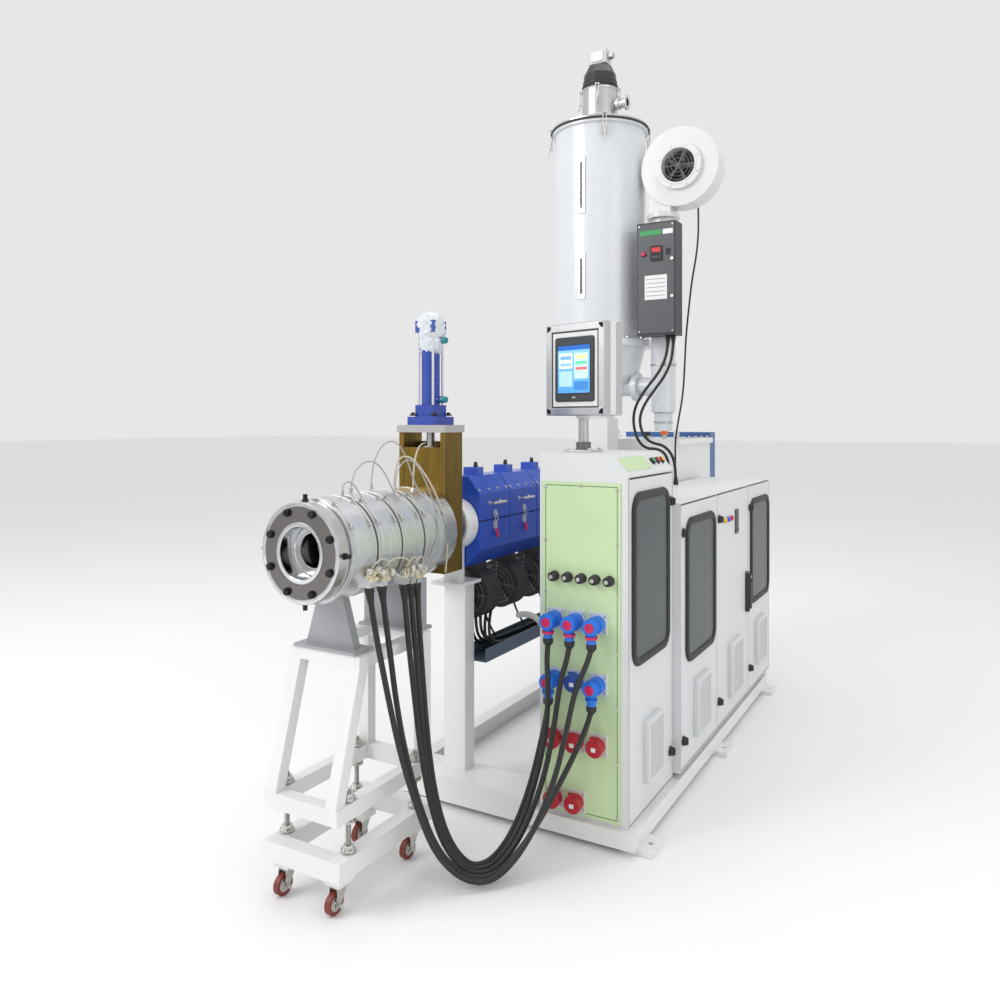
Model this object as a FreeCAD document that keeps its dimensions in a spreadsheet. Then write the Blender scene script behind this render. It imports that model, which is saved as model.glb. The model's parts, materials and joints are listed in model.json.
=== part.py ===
import FreeCAD, Part

import math
import os
import re

import Sketcher
from FreeCAD import Placement, Rotation, Vector

# A single-screw plastic extruder on a welded base. +Z is up, +Y runs upstream from the die to the
# gearbox, and +X is the operator's side, with the windowed doors. All sizes are in millimetres.

SIZES = {
    # Layout of the line
    "base_width": 955, "die_reach": 745, "drive_reach": "=gearbox_end+110",
    "axis_offset": 210, "axis_height": 1038,
    # Welded base
    "foot_thick": 20, "foot_long": 120, "lug_out": 50, "lug_bore": 18,
    "rail_wide": 60, "rail_high": 91, "bay_rail_high": 58, "base_length": "=gearbox_end+50",
    "bay_wide": 430, "bay_length": 1985, "nose_beam": 160, "deck_height": 40, "deck_thick": 6,
    "foot_start": 30, "foot_middle": 960,
    # Console cabinet
    "sheet": 4, "console_inset": 28, "console_wide": 324, "console_start": 20,
    "console_end": 485, "console_top": 1311, "slant_back": 60, "slant_drop": 68,
    "panel_margin": 12, "panel_thick": 4, "panel_top": 1216,
    # Drive enclosure
    "enclosure_wide": 350, "enclosure_end": 2038, "enclosure_low": 98, "enclosure_top": 1114,
    "seam_one": 997, "seam_two": 1560, "post_wide": 40, "post_deep": 30,
    # Doors
    "door_thick": 20, "door_gap": 7, "pin_inset": 5, "pin_radius": 3, "pin_fit": 0.3,
    "pin_deep": 12, "pin_clear": 2, "pane_thick": 6, "pane_lap": 14,
    "window_radius": 62, "vent_out": 16, "knob_radius": 14, "knob_out": 14, "knob_inset": 24,
    "knob_drop": 110, "handle_wide": 26, "handle_high": 190, "handle_out": 16, "handle_inset": 40,
    "handle_middle": 600,
    # Windows and vents, from each door's two ends, its sill and its head
    "pane_one_start": 25, "pane_one_end": 50, "pane_one_low": 518, "pane_one_high": 56,
    "pane_two_start": 56, "pane_two_end": 42.5, "pane_two_low": 393, "pane_two_high": 65,
    "pane_four_start": 38.5, "pane_four_end": 26, "pane_four_low": 419, "pane_four_high": 75,
    "vent_one_start": 132, "vent_one_long": 158, "vent_one_low": 99, "vent_one_high": 211,
    "vent_two_start": 161, "vent_two_long": 181, "vent_two_low": 80, "vent_two_high": 223,
    "vent_three_start": 180.5, "vent_three_long": 201, "vent_three_low": 82, "vent_three_high": 240,
    "vent_four_start": 134.5, "vent_four_long": 194, "vent_four_low": 98, "vent_four_high": 223,
    # Sockets and plugs
    "socket_inset": 288, "socket_top": 748, "socket_pitch": 79, "row_pitch": 203,
    "socket_plate": 62, "socket_brow": 10, "socket_radius": 28,
    "socket_out": 45, "plate_out": 8, "connector_radius": 15, "connector_out": 24,
    "connector_inset": 292, "connector_pitch": 50.5, "connector_high": 893,
    "plug_radius": 25, "plug_out": 34, "plug_tail": 19, "plug_drop": 66,
    # Operator terminal
    "arm_radius": 19, "arm_back": 250, "arm_inset": 290, "terminal_low": 1446, "terminal_wide": 270,
    "terminal_high": 332, "terminal_deep": 96, "terminal_turn": 14.7, "swivel_gap": 0.3,
    "swivel_plate": 52, "swivel_thick": 12,
    # Barrel, its covers and fans
    "barrel_radius": 62, "band_radius": 80, "band_long": 190, "barrel_flange": 92,
    "flange_thick": 30,
    "cover_count": 5, "cover_start": 100, "cover_pitch": 235, "cover_gap": 5,
    "cover_side": 98, "cover_flat": 48, "cover_shoulder": 113, "cover_high": 176,
    "cover_low": 165, "cover_hip": 99, "cover_keel": 35, "cover_sheet": 3,
    "split_high": 9.5, "split_gap": 5, "knuckle_out": 12, "knuckle_radius": 6,
    "knuckle_long": 60, "knuckle_end": 14, "cover_clear": 5,
    "junction_wide": 60, "junction_long": 52, "junction_high": 30,
    "fan_drop": 283, "fan_radius": 97, "fan_thick": 84, "fan_nudge": 72,
    "seat_fit": 0.3, "tab_thick": 3.5,
    # Barrel post and cable tray
    "post_side": 93, "post_start": 80, "post_length": 65, "post_top": "=axis_height-228",
    "post_plate": 12,
    "post_brim": 20, "saddle_start": 58, "saddle_long": 36, "saddle_wide": 70,
    "clamp_start": 20, "clamp_radius": 96,
    "tray_offset": 50, "tray_wide": 100, "tray_low": 508, "tray_high": 52, "tray_sheet": 3,
    # Screen changer
    "gate_front": 135, "gate_long": 115, "gate_half": 98, "gate_high": 150,
    "slot_deep": 40, "slot_wide": 150, "slide_fit": 5, "slide_low": "=axis_height-108",
    "slide_high": "=axis_height+252",
    "cheek_thick": 18, "cheek_top": "=axis_height+345", "cap_thick": 26, "cap_brim": 6,
    "cap_bore": 25,
    "coupling_radius": 32, "coupling_high": 44, "rod_radius": 15, "rod_top": "=axis_height+572",
    "rod_over": 10,
    "ram_radius": 33, "ram_top": "=axis_height+745", "ram_plate": 60, "ram_plate_thick": 30,
    "ram_head": 40,
    "ram_head_high": 42,
    # Die
    "bore_mouth": 78, "bore_throat": 52, "mouth_deep": 62, "die_face_radius": 150,
    "die_face_long": 46, "die_step": 2, "die_core": 138, "die_end": 210, "die_band": 158,
    "die_band_long": 112,
    "die_band_pitch": 121, "die_bolt_ring": 125, "die_bolt_bore": 8, "die_bolt_deep": 36,
    "die_bolt_count": 8, "die_flange_radius": 151,
    "terminal_inset": 30, "terminal_across": 43, "terminal_long": 26, "terminal_tall": 34,
    # Trolley under the die
    "trolley_front": 742, "trolley_back": 274, "trolley_half": 148, "trolley_low": 108,
    "trolley_high": 60, "trolley_rail": 50, "pad_low": 83, "pad_half": 30, "pad_sunk": 5,
    "lower_front": 745, "lower_low": 270, "lower_high": 48, "lower_half": 141,
    "upper_front": 640, "upper_low": "=axis_height-346", "upper_high": 35, "upper_half": 136,
    "leg_wide": 40, "table_thick": 12, "jack_radius": 8, "nut_radius": 16, "nut_high": 15,
    "jack_top": 352, "jack_inset": 70,
    "front_foot": 600, "rear_foot": 290, "foot_rib": 30, "front_foot_wide": 190,
    "front_foot_top": 90, "rear_foot_wide": 240, "saddle_bite": 22,
    # Casters
    "caster_half": 100, "caster_front": 690, "caster_back": 335, "wheel_radius": 32,
    "wheel_wide": 18, "wheel_bore": 4.3, "axle_radius": 4, "caster_trail": 20,
    "cheek_gap": 5, "fork_sheet": 3, "fork_top": 82, "fork_radius": 24, "stem_radius": 6,
    "stem_deep": 17, "disc_thick": 4, "cheek_toe": 9, "cheek_low": 8, "cheek_front": 20,
    "cheek_back": 22, "cheek_tuck": 3, "bridge_low": 6, "bridge_high": 2,
    # Feed throat, hopper and loader
    "feed_reach": "=cover_start+cover_count*cover_pitch+203", "throat_half": 115,
    "throat_over": 150, "throat_under": 110,
    "lantern_radius": 120, "gearbox_start": "=feed_reach+142", "shutter_half": 72,
    "shutter_top": "=axis_height+402",
    "chute_radius": 50, "neck_radius": 75, "neck_top": "=axis_height+462", "cone_radius": 200,
    "cone_top": "=axis_height+622", "hopper_radius": 235, "hopper_start": "=axis_height+782",
    "hopper_top": "=axis_height+1892",
    "hopper_flange": 265, "flange_high": 36, "rim_radius": 250, "rim_high": 14, "hopper_wall": 5,
    "lid_thick": 16, "lid_radius": 252, "loader_low": "=hopper_top+60", "loader_radius": 92,
    "loader_foot": 112, "loader_can_top": "=loader_low+160",
    "loader_cap_top": "=loader_can_top+126", "loader_top": "=filter_low+72",
    "loader_dome": 84, "filter_wide": 96, "filter_deep": 76, "filter_low": "=loader_cap_top+14",
    "stub_radius": 24, "stub_long": 60, "stub_flange": 10, "stub_flange_brim": 14,
    "dome_shoulder": 20, "collar_sunk": 2, "collar_brim": 10,
    # Hot-air heater, blower and controls
    "heater_offset": 345, "heater_radius": 61.5, "heater_low": "=axis_height+432",
    "heater_top": "=axis_height+1402",
    "heater_foot": "=axis_height+337", "heater_foot_radius": 45, "inlet_radius": 48,
    "inlet_high": "=axis_height+562",
    "inlet_reach": 205, "inlet_flange": 72, "inlet_flange_thick": 14, "inlet_root": 100,
    "blower_offset": 445, "blower_high": "=heater_top+240", "blower_radius": 195,
    "blower_thick": 120,
    "blower_inlet": 115, "inlet_ring": 22, "fan_eye": 84, "outlet_wide": 110, "outlet_flange": 82,
    "outlet_thick": 22, "outlet_narrow": 10, "blower_motor": 100, "motor_long": 150,
    "control_offset": 368, "control_wide": 194, "control_front": "=feed_reach-178",
    "control_deep": 104,
    "control_low": "=heater_low+371", "control_top": "=control_low+548", "strap_wide": 60,
    "strap_high": 70,
    "strap_inset": 60, "strap_sunk": 2,
    # Drive
    "gearbox_wide": 550, "gearbox_near": 380, "gearbox_end": "=gearbox_start+630",
    "gearbox_top": "=axis_height+262",
    "gearbox_waist": 690, "gearbox_waist_in": 60, "gearbox_lid": 30, "gearbox_lid_brim": 18,
    "eye_radius": 26, "eye_thick": 9, "eye_sunk": 3, "eye_inset": 90,
    "guard_thick": 110, "guard_low": 640, "guard_top": "=gearbox_top+60",
    "guard_inset": 30,
    "pulley_reach": 750, "pulley_high": 775, "pulley_radius": 165, "pulley_wide": 56,
    "pulley_rim": 18, "pulley_hub": 40, "spoke_wide": 26, "spoke_thick": 20, "pulley_depth": 95,
    "shaft_radius": 20, "motor_reach": 750, "motor_high": 350, "motor_radius": 135,
    "motor_body": 210, "motor_foot": 40,
}

# Routes of the free cables, as chosen points from one end to the other.
POWER_ROUTES = [
    [(-120, -1418, 930), (-108, -1417, 850), (-88, -1410, 740), (-68, -1383, 570), (-48, -1353, 410),
     (-12, -1322, 255), (32, -1296, 127), (88, -1248, 45), (146, -1202, 22), (192, -1152, 45),
     (242, -1082, 130), (288, -1012, 280), (310, -968, 430), (318, -914, 560), (345, -871, 640),
     (348, -853, 682)],
    [(-120, -1358, 925), (-110, -1357, 845), (-92, -1355, 735), (-76, -1343, 570), (-58, -1320, 410),
     (-26, -1294, 255), (18, -1270, 127), (72, -1227, 45), (130, -1184, 22), (176, -1132, 40),
     (228, -1057, 120), (278, -982, 240), (318, -917, 350), (344, -871, 436), (348, -853, 479)],
    [(-120, -1248, 912), (-112, -1248, 830), (-98, -1248, 710), (-78, -1245, 550), (-62, -1238, 400),
     (-34, -1232, 250), (8, -1222, 120), (60, -1197, 45), (112, -1168, 22), (160, -1118, 42),
     (202, -1042, 130), (242, -978, 290), (258, -942, 450), (266, -917, 580), (268, -868, 636),
     (269, -853, 682)],
    [(-120, -1212, 908), (-114, -1212, 826), (-102, -1210, 706), (-88, -1208, 545), (-72, -1204, 395),
     (-46, -1200, 245), (-6, -1192, 118), (44, -1174, 45), (96, -1150, 22), (140, -1098, 42),
     (178, -1022, 125), (206, -958, 280), (224, -926, 440), (218, -912, 570), (192, -869, 632),
     (190, -853, 682)],
    [(-120, -1178, 905), (-116, -1176, 822), (-108, -1172, 702), (-96, -1170, 540), (-82, -1168, 390),
     (-58, -1166, 240), (-20, -1160, 116), (28, -1148, 45), (78, -1134, 22), (118, -1078, 40),
     (148, -1002, 115), (170, -938, 235), (181, -892, 350), (189, -866, 430), (190, -853, 479)],
]
CONTROL_ROUTES = [
    [(143, 543, 1841), (143, 543, 1788), (128, 543, 1720), (92, 543, 1655), (36, 543, 1590),
     (-8, 543, 1530), (-33, 543, 1468), (-34, 543, 1400), (-10, 543, 1325), (34, 543, 1288),
     (90, 543, 1290), (136, 543, 1262), (150, 545, 1190), (150, 545, 1114)],
    [(170, 543, 1841), (170, 543, 1785), (160, 540, 1712), (128, 534, 1640), (76, 528, 1572),
     (34, 522, 1512), (10, 518, 1456), (10, 516, 1402), (32, 516, 1346), (74, 518, 1316),
     (126, 526, 1308), (166, 542, 1262), (176, 562, 1190), (176, 562, 1114)],
]
BLOWER_ROUTE = [
    (215, 805, 2589), (215, 805, 2530), (222, 788, 2450), (233, 748, 2370), (242, 700, 2290),
    (243, 660, 2205), (233, 640, 2118), (217, 638, 1976), (203, 638, 1834), (198, 640, 1726),
    (188, 640, 1553), (166, 636, 1430), (154, 622, 1330), (160, 606, 1220), (160, 606, 1114)]
POWER_CABLE = 18.0
CONTROL_CABLE = 14.0
BLOWER_CABLE = 9.0

HALF = "base_width/2"
FRONT = "(die_reach-drive_reach)/2"
AXIS = "(axis_offset-base_width/2)"
RAIL_TOP = "foot_thick+rail_high"
CONSOLE_LEFT = f"{HALF}-console_inset-console_wide"
CONSOLE_RIGHT = f"{HALF}-console_inset"
ENCLOSURE_LEFT = f"{HALF}-enclosure_wide"

# What the cable routes are drawn beside, and where each of these is for those routes
ANCHORS = {
    "side": (HALF, 477.5), "front": (FRONT, -807.5), "axis": (AXIS, -267.5),
    "height": ("axis_height", 1038), "feed": (f"{FRONT}+feed_reach", 670.5),
    "band": ("die_band", 158), "sockets": ("socket_top", 748), "roof": ("enclosure_top", 1114),
}

TURNS = {
    "x": Rotation(Vector(0, 1, 0), 90),
    "y": Rotation(Vector(1, 0, 0), -90),
    "z": Rotation(),
}

DOC = FreeCAD.newDocument("PlasticExtruder")
SHEET = DOC.addObject("Spreadsheet::Sheet", "Sizes")
SUB_PARTS = []


def fill_sheet():
    for row, name in enumerate(SIZES, start=1):
        SHEET.set(f"A{row}", name)
        SHEET.setAlias(f"B{row}", name)
    for row, size in enumerate(SIZES.values(), start=1):
        SHEET.set(f"B{row}", str(size))
    DOC.recompute()


def linked(text):
    """The expression in which each size's name stands for its cell."""
    return re.sub(r"[a-z]+(?:_[a-z]+)*",
                  lambda word: f"Sizes.{word.group()}" if word.group() in SIZES else word.group(),
                  str(text))


def bind(thing, prop, text):
    thing.setExpression(prop, linked(text))


def drift(name):
    """How far the sizes now carry an anchor from where the cable routes have it."""
    place, drawn = ANCHORS[name]
    return float(SHEET.evalExpression(linked(place))) - drawn


def put(thing, axis, at):
    """Point a shape's own +Z along an axis and bind its place."""
    thing.Placement = Placement(Vector(), TURNS[axis])
    for letter, text in zip("xyz", at):
        bind(thing, f".Placement.Base.{letter}", text)


def about(centre, wide):
    return f"{centre}-({wide})/2", f"{centre}+({wide})/2"


def after(start, long):
    return start, f"{start}+{long}"


def reach(distance):
    """A place along Y, measured upstream from the front of the base."""
    return f"{FRONT}+{distance}"


def centred_box(x, y, z):
    """A block of three sizes with its middle at the origin."""
    return box(about("0", x), about("0", y), about("0", z))


def moved(piece, at, rotation):
    """A piece made round the origin, turned and then carried to its place."""
    carrier = DOC.addObject("Part::Compound", "Moved")
    carrier.Links = [piece]
    carrier.Placement = Placement(Vector(), rotation)
    for letter, text in zip("xyz", at):
        bind(carrier, f".Placement.Base.{letter}", text)
    return carrier


def box(x, y, z):
    """A block between a low and a high face on each axis."""
    block = DOC.addObject("Part::Box", "Block")
    for prop, letter, (low, high) in zip(("Length", "Width", "Height"), "xyz", (x, y, z)):
        bind(block, prop, f"({high})-({low})")
        bind(block, f".Placement.Base.{letter}", low)
    return block


def cylinder(axis, at, radius, long):
    rod = DOC.addObject("Part::Cylinder", "Rod")
    bind(rod, "Radius", radius)
    bind(rod, "Height", long)
    put(rod, axis, at)
    return rod


def fuse(*pieces):
    joined = DOC.addObject("Part::MultiFuse", "Joined")
    joined.Shapes = list(pieces)
    joined.Refine = True
    return joined


def fuse_in_turn(pieces):
    """One union after another, for pieces with many faces in one plane."""
    whole = pieces[0]
    for piece in pieces[1:]:
        whole = fuse(whole, piece)
    return whole


def cut(base, *tools):
    rest = DOC.addObject("Part::Cut", "Rest")
    rest.Base = base
    rest.Tool = tools[0] if len(tools) == 1 else fuse(*tools)
    rest.Refine = True
    return rest


def tube(axis, at, outer, inner, long):
    return cut(cylinder(axis, at, outer, long), cylinder(axis, at, inner, long))


def sketch(body, role, outline):
    """A closed outline of straight edges, each corner bound to its two expressions."""
    plane = [feature for feature in body.Origin.OriginFeatures if feature.Role == role][0]
    drawing = body.newObject("Sketcher::SketchObject", "Outline")
    drawing.AttachmentSupport = [(plane, "")]
    drawing.MapMode = "FlatFace"
    count = len(outline)
    # The corners start spread round a circle and are drawn to their places by the constraints.
    start = [Vector(math.cos(2 * math.pi * turn / count) * 100,
                    math.sin(2 * math.pi * turn / count) * 100, 0) for turn in range(count)]
    for index in range(count):
        drawing.addGeometry(Part.LineSegment(start[index], start[(index + 1) % count]), False)
    for index in range(count):
        drawing.addConstraint(Sketcher.Constraint("Coincident", index, 2, (index + 1) % count, 1))
    for index, corner in enumerate(outline):
        for kind, text, place in zip(("DistanceX", "DistanceY"), corner, start[index]):
            drawing.addConstraint(Sketcher.Constraint(kind, -1, 1, index, 1, place))
            bind(drawing, f"Constraints[{drawing.ConstraintCount - 1}]", text)
    return drawing


def extruded(role, outline, middle, long):
    """An outline on one of the origin planes, padded to both sides of it."""
    body = DOC.addObject("PartDesign::Body", "Profile")
    drawing = sketch(body, role, outline)
    pad = body.newObject("PartDesign::Pad", "Pad")
    pad.Profile = drawing
    pad.SideType = "Symmetric"
    bind(pad, "Length", long)
    letter = {"XZ_Plane": "y", "YZ_Plane": "x", "XY_Plane": "z"}[role]
    bind(body, f".Placement.Base.{letter}", middle)
    return body


def turned(axis, at, outline):
    """An outline of (radius, height) corners turned about its own height."""
    body = DOC.addObject("PartDesign::Body", "Turned")
    drawing = sketch(body, "XZ_Plane", outline)
    turn = body.newObject("PartDesign::Revolution", "Revolution")
    turn.Profile = drawing
    turn.ReferenceAxis = (drawing, ["V_Axis"])
    turn.Angle = 360
    put(body, axis, at)
    return body


def rounded_x(x, y, z, radius):
    """A slab that faces X, with its four edges along X rounded."""
    low_y, high_y = y
    low_z, high_z = z
    across = box(x, (low_y, high_y), (f"{low_z}+({radius})", f"{high_z}-({radius})"))
    upright = box(x, (f"{low_y}+({radius})", f"{high_y}-({radius})"), (low_z, high_z))
    corners = [cylinder("x", (x[0], place_y, place_z), radius, f"({x[1]})-({x[0]})")
               for place_y in (f"{low_y}+({radius})", f"{high_y}-({radius})")
               for place_z in (f"{low_z}+({radius})", f"{high_z}-({radius})")]
    return fuse(across, upright, *corners)


def sub_part(label, shape):
    shape.Label = label
    SUB_PARTS.append(shape)


def base_frame():
    middle = (f"{HALF}-bay_wide", f"{HALF}-bay_wide+rail_wide")
    left = (f"-{HALF}", f"-{HALF}+rail_wide")
    right = (f"{HALF}-rail_wide", HALF)
    high = after("foot_thick", "rail_high")
    low = after("foot_thick", "bay_rail_high")
    pieces = [box(side, (FRONT, reach("base_length")), high) for side in (left, middle)]
    pieces.append(box(right, (FRONT, reach("bay_length")), low))
    pieces.append(box((left[0], middle[1]), (FRONT, reach("nose_beam")), high))
    pieces.append(box((left[0], middle[1]), (reach("base_length-rail_wide"), reach("base_length")),
                      high))
    for start in ("0", "foot_middle", "bay_length-rail_wide"):
        pieces.append(box((middle[0], right[1]), after(reach(start), "rail_wide"), low))
    pieces.append(box((left[1], middle[0]), (reach("nose_beam"), reach("base_length-rail_wide")),
                      after("deck_height", "deck_thick")))
    holes = []
    for start, end in (("foot_start", "base_length-foot_long"), ("foot_start", "bay_length-foot_long")):
        outward = -1 if end.startswith("base") else 1
        for place in (start, "foot_middle", end):
            if outward < 0:
                plate = (f"-{HALF}-lug_out", left[1])
                hole = f"-{HALF}-lug_out/2"
            else:
                plate = (right[0], f"{HALF}+lug_out")
                hole = f"{HALF}+lug_out/2"
            pieces.append(box(plate, after(reach(place), "foot_long"), ("0", "foot_thick")))
            holes.append(cylinder("z", (hole, reach(f"{place}+foot_long/2"), "0"), "lug_bore/2",
                                  "foot_thick"))
    for place in ("foot_start", "foot_middle", "base_length-foot_long"):
        pieces.append(box(middle, after(reach(place), "foot_long"), ("0", "foot_thick")))
    sub_part("base_frame", cut(fuse_in_turn(pieces), *holes))


def console_shell():
    """The tall cabinet, open on the operator's side, with a slanted strip along its top."""
    low = RAIL_TOP.replace("rail_high", "bay_rail_high")
    outline = [(CONSOLE_LEFT, low), (CONSOLE_RIGHT, low),
               (CONSOLE_RIGHT, "console_top-slant_drop"),
               (f"{CONSOLE_RIGHT}-slant_back", "console_top"), (CONSOLE_LEFT, "console_top")]
    middle = reach("(console_start+console_end)/2")
    shell = extruded("XZ_Plane", outline, middle, "console_end-console_start")
    opening_top = "console_top-slant_drop-2*sheet"
    hollow = box((f"{CONSOLE_LEFT}+sheet", CONSOLE_RIGHT),
                 (reach("console_start+sheet"), reach("console_end-sheet")),
                 (f"{low}+sheet", opening_top))
    pins = door_pins(f"{CONSOLE_RIGHT}-pin_inset", reach("console_start+sheet+door_gap+pin_inset"),
                     f"{low}+sheet", opening_top)
    sub_part("console_shell", fuse(cut(shell, hollow), *pins))


def door_pins(x, y, low, high):
    """Pivot pins that stand up from the sill and down from the head of a door opening."""
    long = "door_gap+pin_deep-pin_clear"
    return [cylinder("z", (x, y, low), "pin_radius", long),
            cylinder("z", (x, y, f"{high}-({long})"), "pin_radius", long)]


def socket_panel():
    sub_part("socket_panel", box((f"{CONSOLE_LEFT}+panel_margin", f"{CONSOLE_RIGHT}-2*panel_margin"),
                                 (reach("console_start-panel_thick"), reach("console_start")),
                                 ("foot_thick+bay_rail_high+panel_margin", "panel_top")))


SOCKET_COLUMNS = [f"{HALF}-socket_inset+{column}*socket_pitch" for column in range(3)]
SOCKET_ROWS = [f"socket_top-{row}*row_pitch" for row in range(4)]
PLUGGED = [(2, 0), (2, 1), (1, 0), (0, 0), (0, 1)]
NO_SOCKET = (2, 3)


def power_sockets():
    """Rows of round sockets on square plates, and a row of small connectors above them."""
    face = reach("console_start-panel_thick")
    pieces = []
    for row, high in enumerate(SOCKET_ROWS):
        for column, across in enumerate(SOCKET_COLUMNS):
            if (column, row) == NO_SOCKET:
                continue
            plate = box(about(across, "socket_plate"), (f"{face}-plate_out", face),
                        about(high, "socket_plate+socket_brow"))
            mouth = cylinder("y", (across, f"{face}-socket_out", high), "socket_radius", "socket_out")
            pieces.append(fuse(plate, mouth))
    for number in range(5):
        across = f"{HALF}-connector_inset+{number}*connector_pitch"
        pieces.append(cylinder("y", (across, f"{face}-connector_out", "connector_high"),
                               "connector_radius", "connector_out"))
    sub_part("power_sockets", fuse(*pieces))


def power_plugs():
    """Angled plugs: each pushes onto its socket and lets its cable out straight down."""
    face = reach("console_start-panel_thick-socket_out")
    pieces = []
    for column, row in PLUGGED:
        across, high = SOCKET_COLUMNS[column], SOCKET_ROWS[row]
        head = cylinder("y", (across, f"{face}-plug_out", high), "plug_radius", "plug_out")
        tail = cylinder("z", (across, f"{face}-plug_out/2", f"{high}-plug_drop"), "plug_tail*0.8",
                        "plug_drop")
        pieces.append(fuse(head, tail))
    sub_part("power_plugs", fuse(*pieces))


def drive_enclosure():
    low, high = "enclosure_low", "enclosure_top"
    shell = box((ENCLOSURE_LEFT, HALF), (reach("console_end"), reach("enclosure_end")), (low, high))
    hollow = box((f"{ENCLOSURE_LEFT}+sheet", HALF),
                 (reach("console_end+sheet"), reach("enclosure_end-sheet")),
                 (f"{low}+sheet", f"{high}-sheet"))
    behind = f"{HALF}-door_thick-door_gap"
    pieces = [cut(shell, hollow)]
    for seam in ("seam_one", "seam_two"):
        pieces.append(box((f"{behind}-post_deep", behind), about(reach(seam), "post_wide"), (low, high)))
    for end in ("seam_one", "seam_two", "enclosure_end-sheet-door_gap/2"):
        pieces += door_pins(f"{HALF}-pin_inset", reach(f"{end}-door_gap/2-pin_inset"),
                            f"{low}+sheet", f"{high}-sheet")
    sub_part("drive_enclosure", fuse(*pieces))


def door_table():
    """Each door's word in the size names, its outer face, its ends, sill and head, and its hinge end."""
    console = ("foot_thick+bay_rail_high+sheet", "console_top-slant_drop-2*sheet")
    enclosure = ("enclosure_low+sheet", "enclosure_top-sheet")
    rows = [
        ("one", CONSOLE_RIGHT, "console_start+sheet+door_gap", "console_end-sheet-door_gap", console,
         "from", True),
        ("two", HALF, "console_end+sheet+door_gap", "seam_one-door_gap/2", enclosure, "to", True),
        ("three", HALF, "seam_one+door_gap/2", "seam_two-door_gap/2", enclosure, "to", False),
        ("four", HALF, "seam_two+door_gap/2", "enclosure_end-sheet-door_gap", enclosure, "to", True),
    ]
    return [{"word": word, "face": face, "from": start, "to": end, "low": low, "high": high,
             "hinge": hinge, "glazed": glazed}
            for word, face, start, end, (low, high), hinge, glazed in rows]


def door(number, plan):
    """A slab with its vent and latches, and either a window in its own node or a swing handle."""
    face, word = plan["face"], plan["word"]
    low, high = plan["low"], plan["high"]
    slab = box((f"{face}-door_thick", face), (reach(plan["from"]), reach(plan["to"])),
               (f"{low}+door_gap", f"{high}-door_gap"))
    vent = box((face, f"{face}+vent_out"),
               after(reach(f"{plan['from']}+vent_{word}_start"), f"vent_{word}_long"),
               after(f"{low}+vent_{word}_low", f"vent_{word}_high"))
    pieces = [slab, vent]
    latch = f"{plan['to']}-knob_inset" if plan["hinge"] == "from" else f"{plan['from']}+knob_inset"
    for place in (f"{low}+knob_drop", f"{high}-knob_drop"):
        pieces.append(cylinder("x", (face, reach(latch), place), "knob_radius", "knob_out"))
    cuts = []
    if plan["glazed"]:
        start, end = reach(f"{plan['from']}+pane_{word}_start"), reach(f"{plan['to']}-pane_{word}_end")
        sill, head = f"{low}+pane_{word}_low", f"{high}-pane_{word}_high"
        cuts.append(rounded_x((f"{face}-door_thick", face), (f"{start}+pane_lap", f"{end}-pane_lap"),
                              (f"{sill}+pane_lap", f"{head}-pane_lap"), "window_radius-pane_lap"))
        sub_part(f"window_{number}", rounded_x((face, f"{face}+pane_thick"), (start, end),
                                               (sill, head), "window_radius"))
    else:
        pieces.append(box((face, f"{face}+handle_out"),
                          about(reach(f"{plan['to']}-handle_inset"), "handle_wide"),
                          about("handle_middle", "handle_high")))
    side = 1 if plan["hinge"] == "from" else -1
    pivot = reach(f"{plan[plan['hinge']]}+{side}*pin_inset")
    for place in (f"{low}+door_gap", f"{high}-door_gap-pin_deep"):
        cuts.append(cylinder("z", (f"{face}-pin_inset", pivot, place), "pin_radius+pin_fit", "pin_deep"))
    sub_part(f"door_{number}", cut(fuse(*pieces), *cuts))


TERMINAL_X = f"{HALF}-arm_inset"
TERMINAL_Y = reach("arm_back")


def operator_terminal():
    """A post on the console's top, and the terminal box that swivels on it."""
    foot = cylinder("z", (TERMINAL_X, TERMINAL_Y, "console_top"), "swivel_plate/2", "swivel_thick")
    arm = cylinder("z", (TERMINAL_X, TERMINAL_Y, "console_top"), "arm_radius",
                   "terminal_low-swivel_thick-swivel_gap-console_top")
    sub_part("terminal_post", fuse(foot, arm))
    hub = cylinder("z", ("0", "0", "0"), "swivel_plate/2", "swivel_thick")
    case = box(about("0", "terminal_wide"), about("0", "terminal_deep"),
               after("swivel_thick", "terminal_high"))
    whole = moved(fuse(hub, case), (TERMINAL_X, TERMINAL_Y, "terminal_low-swivel_thick"),
                  Rotation(Vector(0, 0, 1), -SIZES["terminal_turn"]))
    sub_part("terminal_box", whole)


def barrel():
    start = reach("gate_long-gate_front")
    pieces = [cylinder("y", (AXIS, start, "axis_height"), "barrel_radius",
                       f"({reach('feed_reach-throat_half')})-({start})"),
              cylinder("y", (AXIS, start, "axis_height"), "barrel_flange", "flange_thick")]
    for number in range(SIZES["cover_count"]):
        place = reach(f"cover_start+{number}*cover_pitch+(cover_pitch-cover_gap-band_long)/2")
        pieces.append(cylinder("y", (AXIS, place, "axis_height"), "band_radius", "band_long"))
    sub_part("barrel", fuse(*pieces))


COVER_LONG = "cover_pitch-cover_gap"
HINGE_X = f"{AXIS}-cover_side-knuckle_out"
HINGE_Z = "axis_height+split_high"


def cover_shell(start, outline, inner, clear):
    """Half an eight-sided jacket with closed ends that fit round the barrel."""
    middle = f"{start}+({COVER_LONG})/2"
    outer = extruded("XZ_Plane", outline, middle, COVER_LONG)
    hollow = extruded("XZ_Plane", inner, middle, f"{COVER_LONG}-2*cover_sheet")
    bore = cylinder("y", (AXIS, start, "axis_height"), f"barrel_radius+{clear}", COVER_LONG)
    return cut(outer, hollow, bore)


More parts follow.
